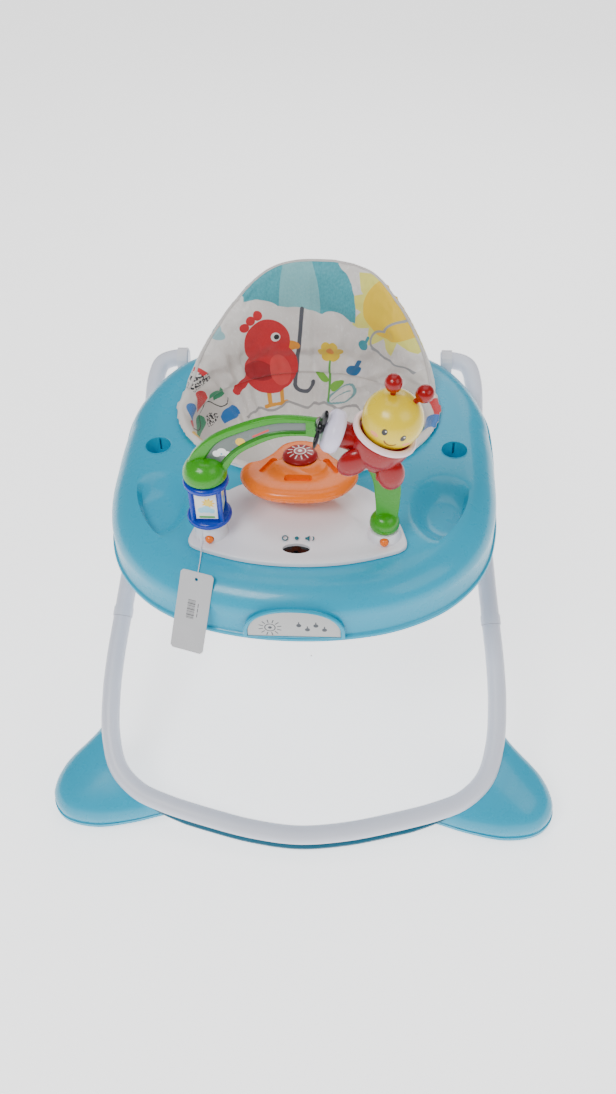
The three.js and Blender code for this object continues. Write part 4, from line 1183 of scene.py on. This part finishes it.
# ---------------------------------------------------------------- feet
def foot_shell(ridge, skirt, inner, count=60):
    """A hollow foot between a ridge under the tube, a skirt along the floor and an inner edge."""
    levels = [(0, 0), (0.0, 0.07), (-0.004, 0.15), (0.0, 0.24), (0.035, 0.34), (0.10, 0.44), (0.19, 0.525),
              (0.30, 0.60), (0.43, 0.68), (0.58, 0.765), (0.76, 0.86), (0.92, 0.95), (1, 1)]

    def line(points, number):
        return spaced(catmull(mm(points), 200), number)

    skirt_row, ridge_row = line(skirt, count), line(ridge, count)
    inner_row = line(inner, count + 2)[1:-1]
    low = np.vstack([skirt_row, inner_row])
    high = np.vstack([ridge_row, ridge_row[::-1]])
    centre = skirt_row.mean(axis=0)

    away = low - centre
    away[:, 2] = 0
    away /= np.linalg.norm(away, axis=1)[:, None]
    homeward = centre - high
    homeward[:, 2] = 0
    homeward /= np.linalg.norm(homeward, axis=1)[:, None]

    def body(inset, drop):
        rows = []
        for share, rise in levels:
            start = low - away * inset
            row = start + (high + homeward * 2.2 * inset - start) * share
            row[:, 2] = low[:, 2] + (high[:, 2] - drop - low[:, 2]) * rise
            rows.append(row)
        return rows

    outer = body(0, 0)
    lip_low = low + away * 0.0018
    lip_high = lip_low + [0, 0, 0.0055]
    inside = body(0.003, 0.005)
    rows = [*inside[::-1], lip_low, lip_high, outer[1] + [0, 0, 0.0012], *outer[2:]]
    return welded(skin(rows, caps=False))


ridge_points = [(184, 647), (218, 632), (246, 604), (260, 560), (263, 522)]
front_ridge = [tuple(1000 * v for v in on_front_slope(x / 1000, reach / 1000, 0.006)) for x,
               reach in ridge_points]
front_skirt = [(186, -312, 32), (230, -319, 22), (280, -322, 15), (322, -311, 14), (341, -284, 14),
               (334, -250, 16), (303, -222, 20), (272, -210, 24)]
front_inner = [(280, -209, 25), (277, -239, 27), (255, -276, 28), (200, -314, 31)]
rear_ridge = [(180, 314, 58), (204, 297, 70), (214, 270, 90), (216, 250, 106)]
rear_skirt = [(176, 326, 22), (196, 344, 16), (228, 354.3, 14), (258, 345, 14), (272, 318, 14),
              (272, 280, 14),
              (262, 252, 14), (236, 240, 18)]
rear_inner = [(212, 240, 20), (202, 262, 20), (192, 286, 20), (172, 312, 22)]
for side, label in SIDES:
    for name, body, lines in (("front", "front_frame", (front_ridge, front_skirt, front_inner)),
                              ("rear", "rear_frame", (rear_ridge, rear_skirt, rear_inner))):
        shell = foot_shell(*lines)
        if name == "front":
            boss = turned(rounded([(0, 0.050), (0.010, 0.050), (0.011, 0.060), (0, 0.060)]), 40,
                          at(*CASTER_AT, 0))
        else:
            boss = turned(rounded([(0, 0.2225), (0.008, 0.2225), (0.009, 0.2305), (0, 0.2305)]), 32,
                          at(0, *REAR_AXLE_AT[1:]) @ about("Y", QUARTER))
        parts = [shell, boss] if side > 0 else [flipped(shell), flipped(boss)]
        foot = creased(solid(name + "_foot_shell_" + label, *parts), 40)
        place(foot, body, "aqua", AQUA, name + "_foot_" + label)


# ---------------------------------------------------------------- wheels
def tyre(radius, half_width, bore):
    """A wheel's profile: a hub, a thinner web, and a tread with a groove along its middle."""
    half = [
        (bore, -half_width), (radius * 0.34, -half_width), (radius * 0.42, -half_width * 0.72),
        (radius * 0.72, -half_width * 0.66), (radius * 0.80, -half_width), (radius - 0.0016, -half_width),
        (radius, -half_width + 0.0016), (radius, -0.0016), (radius - 0.0009, -0.0009),
    ]
    return half + [(reach, -z) for reach, z in reversed(half)] + [half[0]]


def wheel(name, centre, radius, bore, body):
    """A wheel on a body of the same name as the CAD node that it stands for."""
    axle = at(*centre) @ about("Y", QUARTER)
    piece = creased(solid(name, turned(tyre(radius, WHEEL_HALF_WIDTH, bore), 56, axle)), 40)
    place(piece, body, "teal_plastic", TEAL, body)


WHEEL_HALF_WIDTH = 0.009
CHEEK = [(-13, 45), (13, 45), (7.5, 22), (-0.5, 12.5), (-9, 11.8), (-16.5, 14.5), (-17.5, 22)]
cheek_line = catmull(mm(CHEEK), 48, closed=True)[:, :2]


for side, label in SIDES:
    swivel = at(side * CASTER_AT[0], CASTER_AT[1], 0)
    wheel("caster_tyre_" + label, (side * CASTER_AT[0], CASTER_AT[1] - CASTER_TRAIL, CASTER_RADIUS),
          CASTER_RADIUS, 0.0028, "caster_wheel_" + label)
    wheel("rear_tyre_" + label, (side * REAR_AXLE_AT[0], *REAR_AXLE_AT[1:]),
          REAR_RADIUS, 0.0034, "rear_wheel_" + label)
    upright = swivel @ about("Z", QUARTER) @ about("X", QUARTER)
    cheeks = [moved(extruded(cheek_line, 0.0026, 0.0006), upright @ at(0, 0, z)) for z in (-0.0124, 0.0098)]
    stem = turned(rounded([
        (0, 0.0425), (0.014, 0.0425), (0.015, 0.048), (0.0042, 0.048), (0.0042, 0.062), (0, 0.063),
    ]), 40, swivel)
    fork = creased(solid("caster_yoke_" + label, *cheeks, stem), 40)
    place(fork, "caster_" + label, "teal_plastic", TEAL, "caster_fork_" + label)


# ---------------------------------------------------------------- toy station
PANEL_HALF = [(0, -206), (50, -202), (96, -190), (126, -177), (131, -170), (128, -150), (117, -118),
              (99, -86),
              (70, -64), (36, -55), (0, -52)]
panel_outline = spaced(catmull(mm(both_halves(PANEL_HALF)), 400, closed=True), 200)[:-1, :2]
panel_rows = []
for scale, z in catmull([(1, 0.4113, 0), (1, 0.4150, 0), (0.994, 0.4166, 0), (0.978, 0.4174, 0),
                         (0.75, 0.4188, 0),
                         (0.5, 0.4243, 0), (0.26, 0.4303, 0), (0.16, 0.4313, 0)], 28)[:, :2]:
    middle_y = -0.076 + (-0.125 + 0.076) * smoothstep(scale, 0.2, 0.95)
    panel_rows.append([(x * scale, middle_y + (y - middle_y) * scale, z) for x, y in panel_outline])
panel = solid("toy_station_panel", skin(panel_rows))
slot_cut = solid("slot_cut", moved(extruded(
    [(0.0165 * math.cos(a), 0.0074 * math.sin(a))
     for a in np.linspace(0, 2 * math.pi, 40, endpoint=False)], 0.02), at(0, SWITCH_Y, 0.4105)))
boolean(panel, slot_cut)
creased(panel, 35)
place(panel, "root", "white_plastic", WHITE, "toy_panel")

slot_floor = turned(drum(0.0170, 0, 0.0008), 40,
                    at(0, SWITCH_Y, 0.4150) @ Matrix.Diagonal((1, 0.46, 1, 1)))
place(creased(solid("switch_slot_floor", slot_floor)), "root", "black_plastic", BLACK)

MARKS = at(0, -0.1695, 0.4227) @ about("X", 0.264)
circle_line = [(-0.014 + 0.0032 * math.cos(a), 0.0032 * math.sin(a), 0.0005) for a in np.linspace(0, 6.1,
        28)]
circle = moved(tube(circle_line, 0.0007, 8), MARKS)
dot = turned(drum(0.0024, 0, 0.0010), 20, MARKS)
wedge = moved(extruded([(-0.004, -0.0012), (-0.0018, -0.0014), (0.0012, -0.0038), (0.0012, 0.0038),
                        (-0.0018, 0.0014),
                        (-0.004, 0.0012)], 0.0010), MARKS @ at(0.014, 0, 0))
arc_line = [(0.0170 + 0.0032 * math.cos(a), 0.0032 * math.sin(a), 0.0005) for a in np.linspace(-1.0, 1.0,
        14)]
icons = merge(circle, dot, wedge, moved(tube(arc_line, 0.0006, 8), MARKS))
place(creased(mesh_object("switch_marks", *icons)), "root", "teal_plastic", TEAL)

for side, label in SIDES:
    top = SOCKET_TOP[side]
    cone = solid("socket_" + label, turned(rounded(
        [(0, 0.4153), (0.0215, 0.4153), (0.0205, 0.4185), (0.0180, top), (0.0082, top),
         (0.0078, top - 0.008), (0, top - 0.008)],
        4, 0.0011), 56, at(side * ARCH_X, ARCH_Y, 0)))
    pocket = solid("pocket", turned(drum(0.0056, -0.009, 0.009), 32,
                                    at(side * ARCH_X, ARCH_Y - 0.020, BUTTON_Z) @ about("X", QUARTER)))
    boolean(cone, pocket)
    place(creased(cone, 35), "root", "white_plastic", WHITE, "arch_socket_" + label)
    button = turned(rounded([(0, 0), (0.0050, 0), (0.0050, 0.0050), (0.0030, 0.0071), (0, 0.0075)], 5,
                            0.001), 36,
                    at(side * ARCH_X, ARCH_Y - 0.0165, BUTTON_Z) @ about("X", QUARTER))
    ridge_bar = moved(ellipsoid((0.0011, 0.0036, 0.0012)),
                      at(side * ARCH_X, ARCH_Y - 0.0238, BUTTON_Z) @ about("X", QUARTER))
    place(creased(solid("release_" + label + "_cap", button, ridge_bar)), "release_" + label,
          "orange_plastic", ORANGE, "release_button_" + label)

# The steering column and the wheel on it.
column = turned(rounded([(0, 0.4133), (0.0076, 0.4133), (0.0076, 0.4323), (0.024, 0.4323), (0.0170, 0.4480),
                         (0, 0.4480)]),
                48, at(0, COLUMN_Y, 0))
place(creased(solid("column", column)), "steering", "orange_plastic", ORANGE, "steering_column")

HAND = at(0, COLUMN_Y, WHEEL_Z) @ about("X", WHEEL_TILT)
hand_half = [(0, -76), (34, -72), (58, -56), (71, -32), (68, -10), (52, -2), (36, 16), (22, 38), (0, 46)]
hand_outline = spaced(catmull(mm(both_halves(hand_half)), 400, closed=True), 160)[:-1, :2]
hand_rows = []
for scale, z in catmull([(0.80, -0.008, 0), (0.93, -0.0062, 0), (0.985, -0.002, 0), (1, 0.0015, 0),
                         (0.975, 0.0055, 0),
                         (0.90, 0.0085, 0), (0.80, 0.0092, 0), (0.60, 0.0092, 0), (0.50, 0.0105, 0),
                         (0.44, 0.013, 0)],
                        36)[:, :2]:
    hand_rows.append([(x * scale, -0.014 + (y + 0.014) * scale, z) for x, y in hand_outline])
hand = solid("hand_wheel", moved(skin(hand_rows), HAND))


def pill(half_length, radius, depth, count=14):
    points = []
    for k in range(count + 1):
        a = -math.pi / 2 + math.pi * k / count
        points.append((half_length - radius + radius * math.cos(a), radius * math.sin(a)))
    for k in range(count + 1):
        a = math.pi / 2 + math.pi * k / count
        points.append((-half_length + radius + radius * math.cos(a), radius * math.sin(a)))
    return extruded(points, depth)


hollows = []
for x, y, turn in ((0, -0.044, 0), (0.038, -0.015, -1.1), (-0.038, -0.015, 1.1)):
    hollows.append(solid("hollow", moved(pill(0.017, 0.0042, 0.030),
                                         HAND @ at(x, y, 0.004) @ about("Z", turn))))
hollows.append(solid("button_seat", turned(drum(0.0224, 0.008, 0.03), 64, HAND)))
boolean(hand, *hollows)
place(creased(hand, 35), "steering", "orange_plastic", ORANGE, "steering_wheel")

horn_cap = solid("horn_cap", turned(rounded([
    (0, 0.012), (0.0216, 0.012), (0.0216, 0.0150), (0.0170, 0.0185), (0.0080, 0.0205), (0, 0.0210)], 6,
    0.0014), 64, HAND))


def horn_print(s, x, y, paint):
    sun_mark(0, 0, 0.0165)(s, x, y, paint, (250, 246, 240))


flat_uv(horn_cap, HAND, (1, 0, 0), (0, 1, 0))
place(creased(horn_cap, 40), "horn", "red_plastic",
      drawn("horn button print", (170, 0, 6), (150, 0, 4), horn_print, (0.16, 0.26)), "horn_button")


# ---------------------------------------------------------------- toy arch
ARCH_THICK = 0.008
OUTER_SIDE = [(-126, 514), (-118, 538), (-96, 562), (-64, 580), (-20, 594), (30, 591), (66, 580), (94, 560),
              (114, 530),
              (121, 500), (121, 474), (119, 446)]
INNER_SIDE = [(94, 446), (92, 478), (88, 508), (76, 534), (50, 557), (16, 569), (-16, 567), (-43, 555),
              (-64, 540),
              (-80, 514)]
WINDOW_TOP = [(-108, 527), (-89, 557), (-62, 573), (-20, 587.5), (14, 589)]
WINDOW_LOW = [(14, 573.5), (-20, 571.5), (-46, 560.5), (-69, 543.5), (-85, 523)]


def side_line(side, count):
    return catmull(mm(side), count)[:, :2]


band_outline = np.vstack([side_line(OUTER_SIDE, 60), side_line(INNER_SIDE, 54)])
window_outline = np.vstack([side_line(WINDOW_TOP, 26), side_line(WINDOW_LOW, 26)])
UPRIGHT = at(0, ARCH_Y + ARCH_THICK / 2, 0) @ about("X", QUARTER)
band = solid("arch_band", moved(extruded(band_outline, ARCH_THICK, 0.0015), UPRIGHT))
hole = solid("window_cut", moved(extruded(window_outline, 0.03), UPRIGHT @ at(0, 0, -0.01)))
boolean(band, hole)
place(creased(band, 40), "toy_arch", "green_plastic", GREEN, "toy_arch")

rails = []
for side in (WINDOW_TOP, WINDOW_LOW):
    line = side_line(side, 40)
    rails.append(tube([(x, ARCH_Y, z) for x, z in line], 0.0030, 16))
place(creased(solid("window_rails", *rails), 50), "toy_arch", "green_plastic", SHADED_GREEN)


def pane_print(s, x, y, paint):
    paint(disc(x, y, -0.060, 0.5585, 0.0055), (234, 190, 44))
    for cx, cz, r in ((-0.088, 0.541, 0.0045), (-0.082, 0.5435, 0.0055), (-0.0755, 0.5405, 0.0042)):
        paint(disc(x, y, cx, cz, r), (246, 246, 244))
    for k in range(6):
        cx, cz = -0.096 + 0.0135 * k, 0.533 + 0.0082 * k - 0.0006 * k * k
        paint(disc(x, y, cx, cz, 0.0012), (40, 150, 190))
    paint(stroke(x, y, -0.045, 0.5665, -0.028, 0.5755, 0.0012), (214, 48, 40))


pane = solid("arch_pane", moved(extruded(window_outline, 0.0026, 0.0004), UPRIGHT @ at(0, 0, 0.0027)))
flat_uv(pane, Matrix.Identity(4), (1, 0, 0), (0, 0, 1))
place(creased(pane), "toy_arch", "grey_plastic",
      drawn("arch pane print", (112, 122, 118), (92, 104, 100), pane_print, (0.2, 0.3)), "arch_window")

dome = turned(rounded([(0, 0.507), (0.0250, 0.507), (0.0262, 0.512), (0.0250, 0.519), (0.0205, 0.5275),
                       (0.0135, 0.533),
                       (0, 0.5352)], 7, 0.004), 56, at(-ARCH_X, ARCH_Y, 0))
post = turned(drum(0.007, 0.4170, 0.510), 32, at(-ARCH_X, ARCH_Y, 0))
place(creased(solid("left_foot_cap", dome), 50), "toy_arch", "green_plastic", GREEN)
place(creased(solid("left_post", post), 50), "toy_arch", "green_plastic", SHADED_GREEN)
ball_z = SOCKET_TOP[1] + 0.0008
ball = turned(rounded([(0, ball_z), (0.0160, ball_z), (0.0182, ball_z + 0.006), (0.0172, ball_z + 0.014),
                       (0.0118, ball_z + 0.0215),
                       (0, ball_z + 0.025)], 7, 0.0045), 56, at(ARCH_X, ARCH_Y, 0))
place(creased(solid("right_ball", ball), 50), "toy_arch", "green_plastic", GREEN)

# The roller: two flanges, a square core, and a picture on each of its sides.
SPOOL = at(-ARCH_X, ARCH_Y, 0)
flanges = [turned(rounded([(0, z), (0.0245, z), (0.0268, z + 0.0025), (0.0268, z + 0.0065),
                           (0.0245, z + 0.009), (0, z + 0.009)],
                          5, 0.0016), 60, SPOOL) for z in (0.443, 0.496)]
square = box(0.0165, 0.0165)
core = moved(extruded(square, 0.046, 0.0010), SPOOL @ at(0, 0, 0.4515))
corners = [turned(rounded(drum(0.0026, 0.4515, 0.497), 4, 0.0009), 20,
                  at(-ARCH_X + sx * 0.0168, ARCH_Y + sy * 0.0168, 0)) for sx in (-1, 1) for sy in (-1, 1)]
place(creased(solid("roller", *flanges, core, *corners), 35), "spool", "blue_plastic", BLUE, "spool")


def card_print(s, x, y, paint):
    paint(rays(x, y, 0.003, 0.005, 9, 0.0046, 0.0082), (242, 196, 46))
    paint(disc(x, y, 0.003, 0.005, 0.0040), (248, 214, 80))
    for cx, cy, r in ((-0.006, -0.006, 0.0042), (0.0, -0.0045, 0.0054), (0.0062, -0.007, 0.0038)):
        paint(disc(x, y, cx, cy, r), (150, 214, 236))
    paint(stroke(x, y, -0.008, -0.0165, 0.008, -0.0165, 0.0015), (82, 170, 70))


card_material = drawn("roller picture print", (238, 238, 234), (222, 224, 222), card_print, (0.3, 0.42))
for k in range(4):
    turn = about("Z", k * math.pi / 2)
    stand = SPOOL @ turn @ at(0, -0.0166, 0.4745) @ about("X", QUARTER)
    picture = solid("roller_picture_%d" % k, moved(extruded(
        box(0.0128, 0.0195), 0.0010, 0.0003),
        stand))
    flat_uv(picture, stand, (1, 0, 0), (0, 1, 0))
    place(creased(picture), "spool", "card", card_material)


# ---------------------------------------------------------------- aeroplane toy
hull = turned(rounded([(0, -0.038), (0.013, -0.037), (0.024, -0.030), (0.031, -0.018), (0.0335, -0.004),
                       (0.0335, 0.002),
                       (0.0290, 0.0045), (0, 0.0045)], 6, 0.004), 60, PLANE)
bulkhead = turned(rounded(drum(0.0146, -0.013, 0.013), 5, 0.002), 48,
                  PLANE @ at(-0.030, 0, -0.013) @ about("Y", -QUARTER))
wings = [ellipsoid((0.015, 0.009, 0.021), PLANE @ at(x, -0.019, -0.030) @ about("Y", turn))
         for x, turn in ((-0.021, 0.35), (0.023, -0.35))]
saddle_box = box(0.011, 0.015)
saddle = moved(extruded(saddle_box, 0.016, 0.0022), PLANE @ at(0.011, 0.002, -0.041))
peg_rod = turned(rounded(drum(0.0045, -0.022, 0.022), 4, 0.001), 28,
                 PLANE @ at(0.014, 0.0024, -0.040) @ about("X", QUARTER))
place(creased(solid("plane_hull", hull, bulkhead, *wings, saddle, peg_rod), 50), "toy_arch", "red_plastic",
      RED, "plane_body")

rim_line = [(0.033 * math.cos(a), 0.033 * math.sin(a), 0.0062) for a in np.linspace(0, 2 * math.pi, 97)]
rim_path = [tuple(PLANE @ Vector(p)) for p in rim_line]
place(creased(solid("cockpit_ring", tube(rim_path, 0.0037, 18)), 60), "toy_arch", "white_plastic", BLUSH,
      "cockpit_rim")

NOSE = PLANE @ at(-0.0436, 0, -0.013) @ about("Y", -QUARTER)
place(creased(solid("nose_cowl", turned(rounded(
    [(0, 0), (0.0220, 0), (0.0245, 0.004), (0.0240, 0.013), (0.0180, 0.018), (0, 0.019)], 7, 0.0035), 60,
    NOSE)), 50),
    "toy_arch", "white_plastic", LILAC, "plane_nose")

PROP = NOSE @ at(0, 0, 0.0196)
hub = turned(rounded([(0, 0), (0.0070, 0), (0.0080, 0.003), (0.0068, 0.0068), (0, 0.0085)], 6, 0.002), 40,
             PROP)
blades = [ellipsoid((0.0062, 0.0115, 0.0026),
                    PROP @ about("Z", 0.35 + k * 2 * math.pi / 3) @ at(0, 0.014, 0.004)
                    @ about("Y", 0.35)) for k in range(3)]
place(creased(solid("airscrew", hub, *blades), 50), "propeller", "black_plastic", BLACK, "propeller")

HEAD = PLANE @ at(0, 0, 0.026)
head_profile = catmull([(0.0, -0.032, 0), (0.014, -0.0293, 0), (0.025, -0.0205, 0), (0.0318, -0.007, 0),
                        (0.0324, 0.008, 0),
                        (0.027, 0.020, 0), (0.0165, 0.029, 0), (0.0, 0.033, 0)], 36)[:, :2]
head_profile[0, 0] = head_profile[-1, 0] = 0.0
head = solid("head", turned([tuple(p) for p in head_profile], 64, HEAD))


def face_print(s, x, y, paint):
    for side in (-1, 1):
        paint(oval(x, y, side * 0.0105, 0.0035, 0.0030, 0.0040), (28, 26, 30))
        paint(disc(x, y, side * 0.0105 + 0.0009, 0.0049, 0.0009), (250, 250, 250))
        paint(oval(x, y, side * 0.0180, -0.0060, 0.0042, 0.0028), (245, 150, 96))
    smile = disc(x, y, 0, -0.0035, 0.0072).size() - 0.0008
    paint(smile.high(-below(x, y, -0.01, -0.0065, 0.01, -0.0065) * -1.0), (120, 44, 28))


flat_uv(head, HEAD, (1, 0, 0), (0, 0, 1), printed_side=(0, -1, 0))
place(head, "pilot", "yellow_plastic",
      drawn("head print", (236, 208, 12), (224, 192, 8), face_print, (0.22, 0.32)), "pilot_head")
for side, label in SIDES:
    stand = PLANE @ at(0, 0, 0.0) @ at(side * 0.012, 0, 0.0546) @ about("Y", side * 0.36)
    feeler = turned(rounded([(0, 0), (0.0030, 0), (0.0030, 0.0060), (0.0070, 0.0080), (0.0098, 0.0140),
                             (0.0094, 0.0200),
                             (0.0055, 0.0250), (0, 0.0265)], 7, 0.0028), 40, stand)
    place(creased(solid("feeler_ball_" + label, feeler), 60), "pilot", "red_plastic", RED,
          "feeler_" + label)


# ---------------------------------------------------------------- hang tag and its thread
TAG = at(-0.129, -0.269, 0.330) @ about("Z", -0.3) @ about("X", math.pi / 2 - 0.56)


def tag_print(s, x, y, paint):
    for k in range(17):
        width = (0.0004, 0.0007, 0.0004, 0.0010, 0.0005)[k % 5]
        paint(stroke(x, y, -0.0062, 0.0405 + 0.0014 * k, 0.0030, 0.0405 + 0.0014 * k, width * 0.5),
              (44, 44, 50))
    for k in range(3):
        paint(stroke(x, y, 0.0070, 0.044 + 0.006 * k, 0.0070, 0.048 + 0.006 * k, 0.0005), (90, 92, 98))


tag = NODES["hang_tag"]
tag.data.materials.clear()
tag.data.materials.append(drawn(
    "tag print", (204, 204, 206), (190, 190, 193), tag_print, (0.5, 0.62), plane=TAG))

THREAD = [(-113, -173.6, 436), (-113.2, -174.6, 428), (-113.4, -176.8, 421.5), (-113.4, -181.2, 419),
          (-113.4, -185.8, 417.6),
          (-113.5, -189, 414), (-113.6, -195, 411.6), (-113.8, -204, 410.4), (-114.2, -212, 408.8),
          (-114.8, -219, 406.4),
          (-115, -222, 405.3)]
thread_path = spaced(catmull(mm(THREAD), 200), 130)
thread = solid("tag_cord", tube(thread_path, 0.0006, 10))
place(creased(thread, 60), "root", "card", WHITE, "tag_thread")


# ---------------------------------------------------------------- floor, light and world
floor_rows = []
for k, radius in enumerate((0.001, 1.2, 3.0, 6.0)):
    floor_rows.append([(radius * math.cos(a), radius * math.sin(a), 0.0) for a in np.linspace(0,
            2 * math.pi, 64, endpoint=False)])
floor_verts, floor_faces = skin(floor_rows, caps=False)
floor = mesh_object("floor", floor_verts, [tuple(reversed(f)) for f in floor_faces])
ground = Surface("studio floor")
ground.colour(ground.mix(ground.noise(5, 2), linear(243, 243, 245), linear(248, 248, 249)))
ground.rough(0.6, 0.7)
ground.bump(ground.noise(500, 2), 0.05, 0.0002)
ground.set(Emission_Color=(1, 1, 1, 1), Emission_Strength=1.5)
floor.data.materials.append(ground.material)


def area_light(name, place_at, target, size, watts, rgb=(1, 1, 1)):
    data = bpy.data.lights.new(name, "AREA")
    data.shape = "RECTANGLE"
    data.size, data.size_y = size
    data.energy = watts
    data.color = rgb
    obj = bpy.data.objects.new(name, data)
    obj.location = place_at
    obj.rotation_euler = (Vector(target) - Vector(place_at)).to_track_quat("-Z", "Y").to_euler()
    bpy.context.scene.collection.objects.link(obj)


area_light("key", (-0.9, -1.5, 2.4), (0, 0, 0.3), (1.1, 0.8), 40)
area_light("fill", (1.6, -1.0, 1.8), (0, 0, 0.35), (1.4, 1.2), 12)
area_light("top", (0.1, 0.5, 2.6), (0, 0, 0.3), (1.6, 1.6), 14)
area_light("rear", (0.3, 1.9, 1.4), (0, 0, 0.4), (1.5, 1.0), 10)

world = bpy.data.worlds.new("studio")
world.use_nodes = True
world.node_tree.nodes["Background"].inputs["Color"].default_value = (1.0, 1.0, 1.0, 1)
world.node_tree.nodes["Background"].inputs["Strength"].default_value = 0.34
bpy.context.scene.world = world
